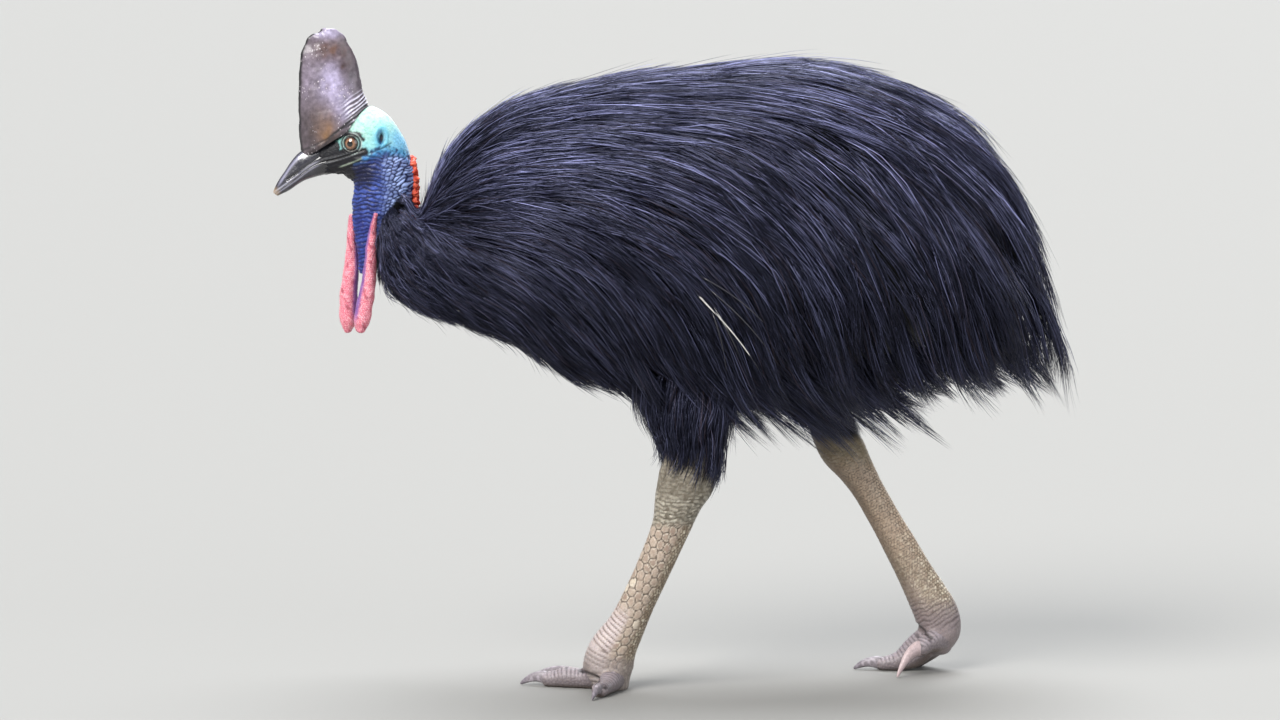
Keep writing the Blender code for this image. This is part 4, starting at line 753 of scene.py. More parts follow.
for half, outer, gap in (("upper", CULMEN, MOUTH_GAP), ("lower", JAW, -MOUTH_GAP)):
    inner = curve(GAPE, stations) + gap / 2
    edge = curve(outer, stations)
    tuck = 1 - 0.45 * fade(stations, -0.5675, -0.560)
    edge = (edge + inner) / 2 + (edge - inner) / 2 * tuck
    inner = inner * tuck + (1 - tuck) * (edge + inner) / 2
    if half == "lower":
        edge = np.minimum(edge, inner - 0.0016)
        inner, edge, sides, tuck, stations = inner[4:], edge[4:], sides[:, 4:], tuck[4:], stations[4:]
        blunt = np.sqrt(np.clip((stations - stations[0] + 0.0004) / 0.006, 0, 1))
        edge = inner + (edge - inner) * blunt
    turn = np.linspace(0, np.pi, 50)
    arch = np.abs(np.sin(turn)) ** 0.9
    y = np.concatenate([np.cos(turn), np.linspace(-0.9, 0.9, 9)])
    rise = np.concatenate([arch, np.zeros(9)])
    rings = np.stack([np.repeat(stations[:, None], len(y), 1), (sides[0] * tuck)[:, None] * y,
                      inner[:, None] + (edge - inner)[:, None] * rise], 2)
    bill = new_object(f"bill_{half}_horn", *shell(rings))
    p, n = part_points(bill)
    pit = np.minimum(near_line(p, *NOSTRIL[:2]), near_line(p, *NOSTRIL[1:]))
    channel = near_line(p, (-0.6100, 0.8520), (-0.5720, 0.8790))
    lower_lip = near_line(p, (-0.6330, 0.8290), (-0.6090, 0.8430))
    tip = np.hypot(p[:, 0] + 0.656, p[:, 2] - 0.812)
    outside = np.abs(n[:, 1]) ** 0.5
    raised = 0.00012 * ripple(p, 0.012, 51)
    tone = np.tile(np.array(linear("#2a2932")[:3]), (len(p), 1))
    tone = tint(tone, "#3f3d46", 0.6 * fade(ripple(p * (0.4, 1, 1), 0.010, 52), 0.0, 0.9))
    edge_near = curve(CULMEN, p[:, 0]) - p[:, 2]
    # Painted highlight: a pale lavender band along the side of the culmen, and pale lines along the gape on both halves
    # of the bill.
    painted_sheen = np.exp(-((edge_near - 0.0075) / 0.0035) ** 2) * fade(-p[:, 0], 0.596, 0.612) * fade(p[:, 0], -0.652, -0.640)
    if half == "upper":
        tone = tint(tone, "#b4b2cc", painted_sheen * outside * 0.60)
        raised += outside * (-0.0030 * np.exp(-(pit / 0.0016) ** 2) + 0.0007 * np.exp(-((pit - 0.0036) / 0.0011) ** 2)
                             - 0.0011 * np.exp(-(channel / 0.0022) ** 2)
                             + 0.0006 * np.exp(-(lower_lip / 0.0015) ** 2))
        # Painted shade in the nostril and in the groove above it.
        tone = tint(tone, "#08080a", np.exp(-(pit / 0.0015) ** 2) * outside)
        tone = tint(tone, "#191820", np.exp(-(channel / 0.0024) ** 2) * 0.8)
        tone = tint(tone, "#c9c8da", np.exp(-(np.abs(p[:, 2] - curve(GAPE, p[:, 0]) - 0.0022) / 0.0013) ** 2) * 0.65)
    else:
        tone = tint(tone, "#1d1c22", fade(p[:, 0], -0.60, -0.57) * 0.7)
        tone = tint(tone, "#a09eb0", np.exp(-(np.abs(p[:, 2] - curve(GAPE, p[:, 0]) + 0.0036) / 0.0013) ** 2) * 0.6)
    tone = tint(tone, "#a58d70", fade(-tip, -0.016, -0.003) * 0.75)
    tone = tint(tone, "#15151b", fade(p[:, 0], -0.590, -0.572))
    move_points(bill, p + n * raised[:, None])
    set_tone(bill, tone)
    bill.data.materials.append(bill_horn)
    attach(bill, "root")
    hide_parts(f"bill_{half}")


# The casque. A tall thin helmet of horn over a light bony core, keeled in front, ridged where its
# rear edge grows out of the crown, and knocked and worn at the top; it grows on the skull.
CASQUE = [((-0.608, 0.868), (-0.492, 0.938), 0.0240), ((-0.613, 0.905), (-0.500, 0.962), 0.0235),
          ((-0.614, 0.945), (-0.508, 0.984), 0.0205), ((-0.612, 0.988), (-0.5115, 1.006), 0.0175),
          ((-0.610, 1.026), (-0.518, 1.031), 0.0145), ((-0.605, 1.054), (-0.526, 1.052), 0.0110),
          ((-0.595, 1.070), (-0.536, 1.068), 0.0080), ((-0.578, 1.080), (-0.549, 1.079), 0.0045)]
CASQUE_TOP = (-0.566, 1.084)
RIDGE_STEP = 0.0055
KNOB = (-0.594, 0.886)

rows = np.array([(*fore, *rear, wide) for fore, rear, wide in CASQUE])
at = np.linspace(0, 7, 150)
rows = np.stack([curve(np.stack([np.arange(8.0), rows[:, k]], 1), at) for k in range(5)], 1)
centre = (rows[:, 0:2] + rows[:, 2:4]) / 2
half = (rows[:, 2:4] - rows[:, 0:2]) / 2
wide = rows[:, 4].copy()
for t in (0.2, 0.4, 0.6, 0.75, 0.88, 0.96):
    centre = np.vstack([centre, centre[149] + (np.array(CASQUE_TOP) - centre[149]) * t])
    half = np.vstack([half, half[149] * math.sqrt(1 - t * t)])
    wide = np.append(wide, wide[149] * math.sqrt(1 - t * t))
flat = np.zeros(len(wide))
rings = oval(np.stack([centre[:, 0], flat, centre[:, 1]], 1), np.stack([half[:, 0], flat, half[:, 1]], 1),
             np.stack([flat, wide, flat], 1), 132, 2.1)
fore_share = np.clip((rings[:, :, 0] - centre[:, :1]) / np.maximum(half[:, :1], 1e-6), -1, 1)
rings[:, :, 1] *= 1 - 0.30 * fade(-fore_share, 0.35, 1.0)
casque = new_object("casque_horn", *shell(rings))
p, n = part_points(casque)
base_run = unit(np.array(CASQUE[0][1]) - np.array(CASQUE[0][0]))
from_fore = (p[:, [0, 2]] - np.array(CASQUE[0][0])) @ base_run
above = (p[:, [0, 2]] - np.array(CASQUE[0][0])) @ np.array((-base_run[1], base_run[0]))
to_rear = fade(p[:, 0] + 0.40 * (p[:, 2] - 0.94), -0.552, -0.522)
ridge_wave = (above - 0.10 * from_fore + 0.0012 * ripple(p, 0.03, 61)) / RIDGE_STEP
ridges = np.cos(2 * np.pi * ridge_wave) * to_rear * fade(-above, -0.060, -0.030)
knob = np.hypot(np.hypot(p[:, 0] - KNOB[0], p[:, 2] - KNOB[1]), np.abs(p[:, 1]) - 0.014)
crown_wear = fade(p[:, 2], 1.040, 1.065)
raised = 0.00075 * ridges + 0.0028 * np.exp(-(knob / 0.0055) ** 2)
raised += 0.0009 * ripple(p, 0.045, 62) + 0.00035 * ripple(p, 0.014, 63)
raised += crown_wear * (0.0012 * ripple(p, 0.020, 64) - 0.0005)
rim = np.exp(-((above - 0.010 - 0.002 * ripple(p, 0.02, 65)) / 0.0022) ** 2)
raised -= 0.0008 * rim
tone = np.tile(np.array(linear("#5f545b")[:3]), (len(p), 1))
# The pale lavender patches in the middle, near the ridged rear and at the top are the horn's colour with painted
# highlight in them.
for spot, size, colour, share in (((-0.598, 1.000), (0.020, 0.050), "#85798a", 0.85),
                                  ((-0.594, 0.915), (0.022, 0.040), "#382f33", 0.9),
                                  ((-0.556, 0.995), (0.020, 0.036), "#c4b9dc", 0.95),
                                  ((-0.540, 0.955), (0.020, 0.026), "#a69dbb", 0.85),
                                  ((-0.566, 0.915), (0.016, 0.026), "#8a6540", 0.85),
                                  ((-0.572, 0.940), (0.020, 0.022), "#6b5854", 0.6),
                                  ((-0.560, 1.048), (0.024, 0.018), "#5a3d33", 1.0),
                                  ((-0.536, 1.025), (0.012, 0.026), "#3f2a28", 0.95),
                                  ((-0.565, 1.076), (0.022, 0.010), "#ada3c2", 0.95)):
    far = np.hypot((p[:, 0] - spot[0]) / size[0], (p[:, 2] - spot[1]) / size[1])
    tone = tint(tone, colour, share * np.exp(-far ** 2) * (0.85 + 0.3 * ripple(p, 0.016, 66)))
# Painted shade in the troughs of the rear ridges, and painted highlight on their crests.
tone = tint(tone, "#3b3138", to_rear * fade(-ridges, 0.1, 0.9) * 0.7)
tone = tint(tone, "#f0edff", to_rear * fade(ridges, 0.1, 0.9) * 0.9)
front_line = curve([(z, x) for (x, z), _, _ in CASQUE], p[:, 2])
# Painted shadow: a dark strip down the keel's front edge.
tone = tint(tone, "#120e12", fade(front_line + 0.0052 - p[:, 0], -0.001, 0.0035))
# Painted shade in the groove near the casque's base.
tone = tint(tone, "#1c181c", rim * 0.75)
seam = np.minimum(near_line(p, (-0.500, 0.9570), (-0.559, 0.9060)), near_line(p, (-0.559, 0.9060), (-0.573, 0.8890)))
tone = tint(tone, "#141116", np.exp(-(seam / 0.0026) ** 2) * 0.9)
tone = tint(tone, "#2b2226", fade(-above, -0.008, -0.003) * 0.8)

# Old horn, scuffed by branches: a gloss that comes and goes with a mottle, and flecked pale where it is chipped.
casque_horn, tree, place = new_material("scuffed_casque_horn")
horn_tone = add(tree, "ShaderNodeAttribute", attribute_name="tone").outputs["Color"]
mottle = add(tree, "ShaderNodeTexNoise", {"Vector": place, "Scale": 130.0, "Detail": 6.0, "Roughness": 0.65})
shade = add(tree, "ShaderNodeMapRange", {"Value": mottle.outputs["Fac"], "From Min": 0.3, "From Max": 0.72,
                                         "To Min": 0.62, "To Max": 1.30})
mixed = add(tree, "ShaderNodeMix", {"Factor": 1.0, "A": horn_tone, "B": shade.outputs[0]},
            data_type="RGBA", blend_type="MULTIPLY")
long_way = add(tree, "ShaderNodeMapping", {"Vector": place, "Rotation": (0.0, 0.5, 0.0),
                                           "Scale": (330.0, 260.0, 150.0)})
chips = add(tree, "ShaderNodeTexVoronoi", {"Vector": long_way.outputs[0], "Scale": 1.0})
chip = add(tree, "ShaderNodeMapRange", {"Value": chips.outputs["Distance"], "From Min": 0.12, "From Max": 0.26,
                                        "To Min": 1.0, "To Max": 0.0})
patches = add(tree, "ShaderNodeTexNoise", {"Vector": place, "Scale": 36.0, "Detail": 2.0})
patch = add(tree, "ShaderNodeMapRange", {"Value": patches.outputs["Fac"], "From Min": 0.53, "From Max": 0.62})
chipped = add(tree, "ShaderNodeMath", {0: chip.outputs[0], 1: patch.outputs[0]}, operation="MULTIPLY")
colour = [s for s in mixed.outputs if s.type == "RGBA"][0]
flecked = add(tree, "ShaderNodeMix", {"Factor": chipped.outputs[0], "A": colour, "B": "#d9cfd6"}, data_type="RGBA")
colour = [s for s in flecked.outputs if s.type == "RGBA"][0]
gloss = add(tree, "ShaderNodeMapRange", {"Value": mottle.outputs["Fac"], "From Min": 0.3, "From Max": 0.7,
                                         "To Min": 0.26, "To Max": 0.52})
scuffs = add(tree, "ShaderNodeMath", {0: mottle.outputs["Fac"], 1: chipped.outputs[0]}, operation="SUBTRACT")
bump = add(tree, "ShaderNodeBump", {"Height": scuffs.outputs[0], "Strength": 0.30, "Distance": 0.0012})
close_material(tree, add(tree, "ShaderNodeBsdfPrincipled", {
    "Base Color": colour, "Roughness": gloss.outputs[0], "Normal": bump.outputs[0], "IOR": 1.54,
    "Coat Weight": 0.3, "Coat Roughness": 0.2}))
move_points(casque, p + n * raised[:, None])
set_tone(casque, tone)
casque.data.materials.append(casque_horn)
# Where the horn grows out of the hide, the hide is drawn in, and painted shade darkens it there.
horn_tree = BVHTree.FromPolygons([tuple(q) for q in p], [tuple(f.vertices) for f in casque.data.polygons])
crown, crown_way = part_points(skin)
close = np.flatnonzero((crown[:, 0] > -0.62) & (crown[:, 0] < -0.48) & (crown[:, 2] > 0.86))
gap = np.array([horn_tree.find_nearest(tuple(q))[3] for q in crown[close]])
crown[close] -= crown_way[close] * (0.0012 * np.exp(-(gap / 0.0022) ** 2))[:, None]
move_points(skin, crown)
layer = skin.data.attributes["tone"].data
hide_tone = np.empty(len(crown) * 4)
layer.foreach_get("color", hide_tone)
hide_tone = hide_tone.reshape(-1, 4)
hide_tone[close, :3] = tint(hide_tone[close, :3], "#14161c", np.exp(-(gap / 0.0032) ** 2) * 0.95)
layer.foreach_set("color", hide_tone.astype(np.float32).ravel())
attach(casque, "root")
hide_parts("casque")


# The wattles. Two soft folds of bare skin that hang from the throat, pebbled all over, red on the
# outside and blue towards each other; they are slipped over a soft core and stitched at the throat.
# x, z, half depth and half width
WATTLE = {LEFT: [(-0.486, 0.780, 0.0035, 0.004), (-0.490, 0.764, 0.0055, 0.007), (-0.493, 0.735, 0.0085, 0.010),
                 (-0.496, 0.700, 0.010, 0.011), (-0.500, 0.660, 0.012, 0.012), (-0.507, 0.622, 0.0135, 0.013),
                 (-0.511, 0.600, 0.0125, 0.012), (-0.513, 0.588, 0.008, 0.008)],
          RIGHT: [(-0.527, 0.772, 0.005, 0.006), (-0.528, 0.756, 0.007, 0.009), (-0.528, 0.725, 0.009, 0.010),
                  (-0.529, 0.690, 0.012, 0.011), (-0.533, 0.650, 0.014, 0.013), (-0.535, 0.612, 0.0145, 0.013),
                  (-0.535, 0.594, 0.012, 0.011), (-0.535, 0.584, 0.007, 0.007)]}
WATTLE_ASIDE = [(0.690, 0.017), (0.735, 0.021), (0.764, 0.0275), (0.780, 0.0315)]

# Soft pebbled skin over blood vessels: a damp gloss and light that glows through the thin edges.
red_skin, tree, place = new_material("pebbled_red_skin")
red_tone = add(tree, "ShaderNodeAttribute", attribute_name="tone").outputs["Color"]
pores = add(tree, "ShaderNodeTexVoronoi", {"Vector": place, "Scale": 520.0}, feature="SMOOTH_F1")
bump = add(tree, "ShaderNodeBump", {"Height": pores.outputs["Distance"], "Strength": 0.4, "Distance": 0.0008})
close_material(tree, add(tree, "ShaderNodeBsdfPrincipled", {
    "Base Color": red_tone, "Roughness": 0.42, "Normal": bump.outputs[0], "IOR": 1.42,
    "Subsurface Weight": 0.12, "Subsurface Radius": (0.006, 0.002, 0.001), "Subsurface Scale": 1.0}))
for side, word in SIDES:
    rows = [(x, side * float(curve(WATTLE_ASIDE, z) if side == LEFT else 0.017), z, deep, wide)
            for x, z, deep, wide in WATTLE[side]]
    wattle = new_object(f"wattle_{word}_skin", *shell(rounded(limb(rows, 0.0014, 60))))
    p, n = part_points(wattle)
    along, turn, off, size = beside(p, rows, (-1.0, 0.0, 0.0))
    edge, number = cells(turn * size / 0.0031, along / 0.0028, 0.6, 7.0 + side)
    pebble = 1 - np.exp(-(edge / 0.30) ** 2)
    raised = 0.0009 * (pebble - 0.6) + 0.0009 * ripple(p, 0.024, 71 + side)
    tone = np.tile(np.array(linear("#ec8a9a")[:3]), (len(p), 1))
    # Painted highlight on the tops of the pebbles, and painted shade in the grooves between them.
    tone = tint(tone, "#ffd3da", pebble * number * 0.85)
    tone = tint(tone, "#b84c62", (1 - pebble) * 0.8)
    tone = tint(tone, "#8c2740", 0.6 * fade(ripple(p, 0.016, 73), 0.5, 1.0))
    inner = fade(np.cos(turn) * (1 if side == LEFT else -1), 0.35, 0.85)
    tone = tint(tone, "#4a4a9c", inner * 0.75 * fade(p[:, 2], 0.590, 0.62))
    tone = tint(tone, "#7c2b52", fade(p[:, 2], 0.735, 0.775) * 0.35)
    move_points(wattle, p + n * raised[:, None])
    set_tone(wattle, tone)
    wattle.data.materials.append(red_skin)
    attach(wattle, "root")
    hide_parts(f"wattle_{word}")


# The caruncles. A string of small orange-red lumps of skin down the nape, each a soft bead beside
# the next; one bead is modelled and set along the nape, and all are glued to the hide.
NAPE = [(-0.4285, 0.867), (-0.4245, 0.848), (-0.4230, 0.826), (-0.4222, 0.800), (-0.4205, 0.776)]
BEADS = 16
BEAD_SIZE = 0.0068

beads_skin, tree, place = new_material("orange_red_skin")
blotch = add(tree, "ShaderNodeTexNoise", {"Vector": place, "Scale": 150.0, "Detail": 3.0})
hue = add(tree, "ShaderNodeValToRGB", {"Fac": blotch.outputs["Fac"]},
          stops=[(0.35, "#b5301f"), (0.62, "#ee6a4e")])
pores = add(tree, "ShaderNodeTexVoronoi", {"Vector": place, "Scale": 620.0}, feature="SMOOTH_F1")
bump = add(tree, "ShaderNodeBump", {"Height": pores.outputs["Distance"], "Strength": 0.35, "Distance": 0.0007})
close_material(tree, add(tree, "ShaderNodeBsdfPrincipled", {
    "Base Color": hue.outputs[0], "Roughness": 0.40, "Normal": bump.outputs[0], "IOR": 1.42,
    "Subsurface Weight": 0.10, "Subsurface Radius": (0.006, 0.002, 0.001), "Subsurface Scale": 1.0}))
heights = np.linspace(NAPE[0][1], NAPE[-1][1], BEADS)
nape_x = curve([(z, x) for x, z in reversed(NAPE)], heights)
mesh = bpy.data.meshes.new("caruncles")
mesh.from_pydata([(x, 0.0042 * (-1) ** i, z) for i, (x, z) in enumerate(zip(nape_x, heights))], [], [])
caruncles = bpy.data.objects.new("caruncles", mesh)
bpy.context.scene.collection.objects.link(caruncles)
tree = bpy.data.node_groups.new("beads_on_points", "GeometryNodeTree")
tree.interface.new_socket("Geometry", in_out="OUTPUT", socket_type="NodeSocketGeometry")
tree.interface.new_socket("Geometry", in_out="INPUT", socket_type="NodeSocketGeometry")
for name, default in (("Bead size", 0.005), ("Unevenness", 0.2)):
    tree.interface.new_socket(name, in_out="INPUT", socket_type="NodeSocketFloat").default_value = default
given = add(tree, "NodeGroupInput")
ball = add(tree, "GeometryNodeMeshIcoSphere", {"Radius": 1.0, "Subdivisions": 4})
lump = add(tree, "ShaderNodeTexNoise", {"Scale": 1.1, "Detail": 1.0})
swell = add(tree, "ShaderNodeMath", {0: lump.outputs["Fac"], 1: 0.5}, operation="SUBTRACT")
push = add(tree, "ShaderNodeVectorMath", {0: add(tree, "GeometryNodeInputNormal").outputs[0],
                                          "Scale": swell.outputs[0]}, operation="SCALE")
bead = add(tree, "GeometryNodeSetPosition", {"Geometry": ball.outputs["Mesh"], "Offset": push.outputs[0]})
least = add(tree, "ShaderNodeMath", {0: 1.0, 1: given.outputs["Unevenness"]}, operation="SUBTRACT")
most = add(tree, "ShaderNodeMath", {0: 1.0, 1: given.outputs["Unevenness"]}, operation="ADD")
scale = add(tree, "FunctionNodeRandomValue", {"Seed": 5}, data_type="FLOAT")
tree.links.new(least.outputs[0], scale.inputs[2])
tree.links.new(most.outputs[0], scale.inputs[3])
sized = add(tree, "ShaderNodeMath", {0: scale.outputs[1], 1: given.outputs["Bead size"]}, operation="MULTIPLY")
turned = add(tree, "FunctionNodeRandomValue", {"Seed": 9}, data_type="FLOAT_VECTOR")
turned.inputs[1].default_value = (6.0, 6.0, 6.0)
put = add(tree, "GeometryNodeInstanceOnPoints", {
    "Points": given.outputs["Geometry"], "Instance": bead.outputs[0], "Rotation": turned.outputs[0],
    "Scale": sized.outputs[0]})
real = add(tree, "GeometryNodeRealizeInstances", {"Geometry": put.outputs[0]})
smooth = add(tree, "GeometryNodeSetShadeSmooth", {"Geometry": real.outputs[0]})
dressed = add(tree, "GeometryNodeSetMaterial", {"Geometry": smooth.outputs[0], "Material": beads_skin})
add(tree, "NodeGroupOutput", {"Geometry": dressed.outputs[0]})
beads = caruncles.modifiers.new("Beads", "NODES")
beads.node_group = tree
sockets = {s.name: s.identifier for s in tree.interface.items_tree if s.in_out == "INPUT"}
beads[sockets["Bead size"]] = BEAD_SIZE
beads[sockets["Unevenness"]] = 0.22
settled(caruncles)
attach(caruncles, "root")


# The claws. Blunt curved sheaths of grey horn on the middle and outer toes, and a long straight
# dagger on each inner one; each is slipped over the toe's last bone.
CLAW_LENGTH = {"middle": 0.046, "inner": 0.078, "outer": 0.038}
CLAW_RADIUS = {"middle": 0.0095, "inner": 0.0115, "outer": 0.0085}

# Claw horn, ground by walking: satin, with faint lengthwise streaks, paler where it is worn.
claw_horn, tree, place = new_material("worn_claw_horn")
claw_tone = add(tree, "ShaderNodeAttribute", attribute_name="tone").outputs["Color"]
grain = add(tree, "ShaderNodeTexNoise", {"Vector": place, "Scale": 260.0, "Detail": 5.0, "Roughness": 0.6})
shade = add(tree, "ShaderNodeMapRange", {"Value": grain.outputs["Fac"], "From Min": 0.3, "From Max": 0.7,
                                         "To Min": 0.75, "To Max": 1.2})
mixed = add(tree, "ShaderNodeMix", {"Factor": 1.0, "A": claw_tone, "B": shade.outputs[0]},
            data_type="RGBA", blend_type="MULTIPLY")
colour = [s for s in mixed.outputs if s.type == "RGBA"][0]
bump = add(tree, "ShaderNodeBump", {"Height": grain.outputs["Fac"], "Strength": 0.2, "Distance": 0.0005})
close_material(tree, add(tree, "ShaderNodeBsdfPrincipled", {
    "Base Color": colour, "Roughness": 0.42, "Normal": bump.outputs[0], "IOR": 1.54}))
for (side, which), rows in TOES.items():
    tip = np.array((rows[-1][0], rows[-1][1] * side, rows[-1][2]))
    last = np.array((rows[-2][0], rows[-2][1] * side, rows[-2][2]))
    run = unit((tip - last) * (1, 1, 0))
    length = CLAW_LENGTH[which] * (0.65 if tip[2] > 0.03 else 1.0)
    t = np.linspace(0, 1, 46) ** 0.9 * 0.995
    centre = tip - run * 0.006 + run * (0.006 + length) * t[:, None]
    centre[:, 2] = tip[2] * (1 - t * t) + 0.002 * t * t + 0.005 * np.sin(np.pi * t)
    size = CLAW_RADIUS[which] * (1 - t) ** 0.7 + 0.0012
    path = [(*c, s * 1.15, s * 0.85) for c, s in zip(centre, size)]
    across = np.cross(run, (0, 0, 1))
    rings = limb(path, 0.0012, 40, across)
    claw = new_object(f"claw_{which}_{'left' if side == LEFT else 'right'}_horn", *shell(rounded(rings, (False, True))))
    p, n = part_points(claw)
    along = (p - centre[0]) @ run
    edgewise = (p - centre[0]) @ across
    raised = 0.00025 * np.sin(edgewise / 0.0009 + 0.8 * ripple(p, 0.02, 81)) * fade(along, 0.002, 0.01)
    p = p + n * raised[:, None]
    p[:, 2] = np.maximum(p[:, 2], 0.0)
    tone = np.tile(np.array(linear("#7f777c")[:3]), (len(p), 1))
    tone = tint(tone, "#b9b0b8", 0.6 * fade(ripple(p, 0.012, 82), 0.0, 0.9))
    tone = tint(tone, "#5d5560", fade(along, 0.75 * length, length) * 0.5)
    tone = tint(tone, "#4c4447", fade(-along, -0.010, -0.004) * 0.7)
    if side == RIGHT and which == "inner":
        tone = tint(tone, "#bda7a6", 0.75 * fade(along, 0.004, 0.014))
    move_points(claw, p)
    set_tone(claw, tone)
    claw.data.materials.append(claw_horn)
    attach(claw, "root")
    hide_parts(f"claw_{which}_{'left' if side == LEFT else 'right'}")


# The wings. Each small wing is lost in the coat, but for its five bare quills, which are round
# shafts of pale horn without any vane; they are set in the wing's stub of hide and bone.
# x, distance from the middle plane, z, half depth and half width
WING = [(-0.030, 0.130, 0.752, 0.016, 0.010), (-0.006, 0.148, 0.730, 0.020, 0.014),
        (0.020, 0.164, 0.702, 0.020, 0.014), (0.042, 0.174, 0.678, 0.015, 0.011),
        (0.054, 0.178, 0.666, 0.008, 0.008)]
# where it leaves the stub, how steeply it falls and how long it is
QUILLS = [((0.022, 0.706), -22, 0.150), ((0.032, 0.694), -34, 0.200), ((0.022, 0.680), -40, 0.225),
          ((0.048, 0.672), -54, 0.210), ((0.054, 0.660), -66, 0.170)]
QUILL_LIFT = 0.003
PALE_QUILL = 2
COAT_BACK = [(-0.488, 0.700), (-0.486, 0.735), (-0.471, 0.800), (-0.457, 0.820), (-0.4435, 0.828), (-0.4315, 0.806),
             (-0.424, 0.788), (-0.414, 0.784), (-0.404, 0.798), (-0.383, 0.860), (-0.342, 0.916), (-0.284, 0.957), (-0.201, 0.985), (-0.119, 1.003),
             (0.046, 1.026), (0.211, 1.036), (0.277, 1.028), (0.343, 1.010), (0.409, 0.982),
             (0.508, 0.916), (0.574, 0.809), (0.615, 0.701), (0.648, 0.569), (0.660, 0.510)]
COAT_BELLY = [(-0.488, 0.700), (-0.480, 0.660), (-0.449, 0.630), (-0.383, 0.602), (-0.317, 0.578),
              (-0.251, 0.555), (-0.185, 0.508), (-0.119, 0.487), (0.000, 0.470), (0.211, 0.455),
              (0.310, 0.462), (0.409, 0.478), (0.540, 0.485), (0.600, 0.470), (0.640, 0.465),
              (0.660, 0.510)]
COAT_WIDTH = [(-0.488, 0.000), (-0.482, 0.034), (-0.450, 0.064), (-0.400, 0.082), (-0.350, 0.106),
              (-0.284, 0.136), (-0.165, 0.180), (0.000, 0.214), (0.190, 0.232), (0.350, 0.216),
              (0.480, 0.178), (0.580, 0.138), (0.640, 0.090), (0.660, 0.000)]

# Quill horn, clear and polished by rubbing: ivory to grey, with a soft gloss.
quill_horn, tree, place = new_material("bare_quill_horn")
streak = add(tree, "ShaderNodeTexNoise", {"Vector": place, "Scale": 90.0, "Detail": 4.0})
shade = add(tree, "ShaderNodeMapRange", {"Value": streak.outputs["Fac"], "From Min": 0.3, "From Max": 0.7,
                                         "To Min": 0.70, "To Max": 1.15})
quill_tone = add(tree, "ShaderNodeAttribute", attribute_name="tone").outputs["Color"]
mixed = add(tree, "ShaderNodeMix", {"Factor": 1.0, "A": quill_tone, "B": shade.outputs[0]},
            data_type="RGBA", blend_type="MULTIPLY")
colour = [s for s in mixed.outputs if s.type == "RGBA"][0]
close_material(tree, add(tree, "ShaderNodeBsdfPrincipled", {
    "Base Color": colour, "Roughness": 0.33, "IOR": 1.54, "Coat Weight": 0.2, "Coat Roughness": 0.2}))
for side, word in SIDES:
    solids = [shell(rounded(limb(on_side(WING, side), 0.006, 24)))]
    pale = []
    for number, ((x, z), slope, length) in enumerate(QUILLS):
        steps = 40
        path = []
        for i in range(steps + 1):
            t = i / steps
            share = abs(z - (curve(COAT_BACK, x) + curve(COAT_BELLY, x)) / 2)
            share /= (curve(COAT_BACK, x) - curve(COAT_BELLY, x)) / 2
            aside = curve(COAT_WIDTH, x) * (1 - min(share, 1.0) ** 2.15) ** (1 / 2.15)
            start = float(fade(np.array(t), 0.0, 0.25))
            aside = 0.176 * (1 - start) + (aside + QUILL_LIFT * (3 if number == PALE_QUILL else 1)) * start
            size = 0.0016 * (1 - t) + 0.0006 * t
            path.append((x, side * aside, z, size, size))
            bend = math.radians(slope - 25 * t)
            x += math.cos(bend) * length / steps
            z += math.sin(bend) * length / steps
        solids.append(shell(rounded(limb(path, 0.005, 10, (0.0, 0.3, 1.0)))))
        pale.append(path if number == PALE_QUILL else [])
    points, faces = [], []
    for solid_points, solid_faces in solids:
        start = sum(len(p) for p in points)
        points.append(solid_points)
        faces += [[corner + start for corner in face] for face in solid_faces]
    quills = new_object(f"wing_quills_{word}", np.concatenate(points), faces)
    p, _ = part_points(quills)
    line = np.array(pale[PALE_QUILL])[3:27, :3]
    near = np.array([np.linalg.norm(line - q, axis=1).min() for q in p])
    tone = tint(np.tile(np.array(linear("#2b2a31")[:3]), (len(p), 1)), "#c9c7c2", fade(-near, -0.008, -0.004))
    set_tone(quills, tone)
    quills.data.materials.append(quill_horn)
    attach(quills, "root")
    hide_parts(f"wing_{word}")


# The coat. Long loose hair-like feathers, black with a violet gleam that is partly painted highlight, lie back over the
# whole body and hang in a fringe at the rump and belly. Each feather is a bundle of thin barbs that share
# one line; the feathers are laid between the hide and the coat's outline, and rooted in the hide.
# x, z, the slope in degrees at which feathers lie there, and how far that reaches
LIE = [(-0.366, 0.883, 45, 0.05), (-0.284, 0.800, 14, 0.08), (-0.201, 0.932, 10, 0.08), (0.046, 0.998, 0, 0.08),
       (0.294, 0.998, -10, 0.08), (0.459, 0.916, -40, 0.08), (0.541, 0.800, -60, 0.08), (0.591, 0.635, -72, 0.08),
       (-0.119, 0.800, -15, 0.08), (0.046, 0.800, -30, 0.08), (0.211, 0.800, -45, 0.08), (0.376, 0.800, -50, 0.08),
       (-0.284, 0.701, -30, 0.08), (-0.119, 0.668, -45, 0.08), (0.046, 0.635, -55, 0.08), (0.211, 0.635, -70, 0.08),
       (0.376, 0.635, -65, 0.08), (0.541, 0.602, -66, 0.08), (-0.416, 0.701, -45, 0.05), (-0.366, 0.635, -25, 0.06),
       (-0.201, 0.553, -50, 0.07), (-0.086, 0.503, -65, 0.07), (0.046, 0.470, -80, 0.07), (-0.399, 0.8415, 55, 0.03),
       (-0.416, 0.790, 5, 0.02), (-0.452, 0.806, -55, 0.02), (-0.459, 0.759, -50, 0.03), (-0.477, 0.726, -72, 0.03), (-0.449, 0.652, -35, 0.04)]
FEATHER_LENGTH = [(-0.474, 0.050), (-0.440, 0.085), (-0.400, 0.130), (-0.300, 0.205), (-0.150, 0.250), (0.400, 0.275),
                  (0.490, 0.330), (0.562, 0.340)]
FEATHERS = 2700
BARBS = 21
BARB_RINGS = 4
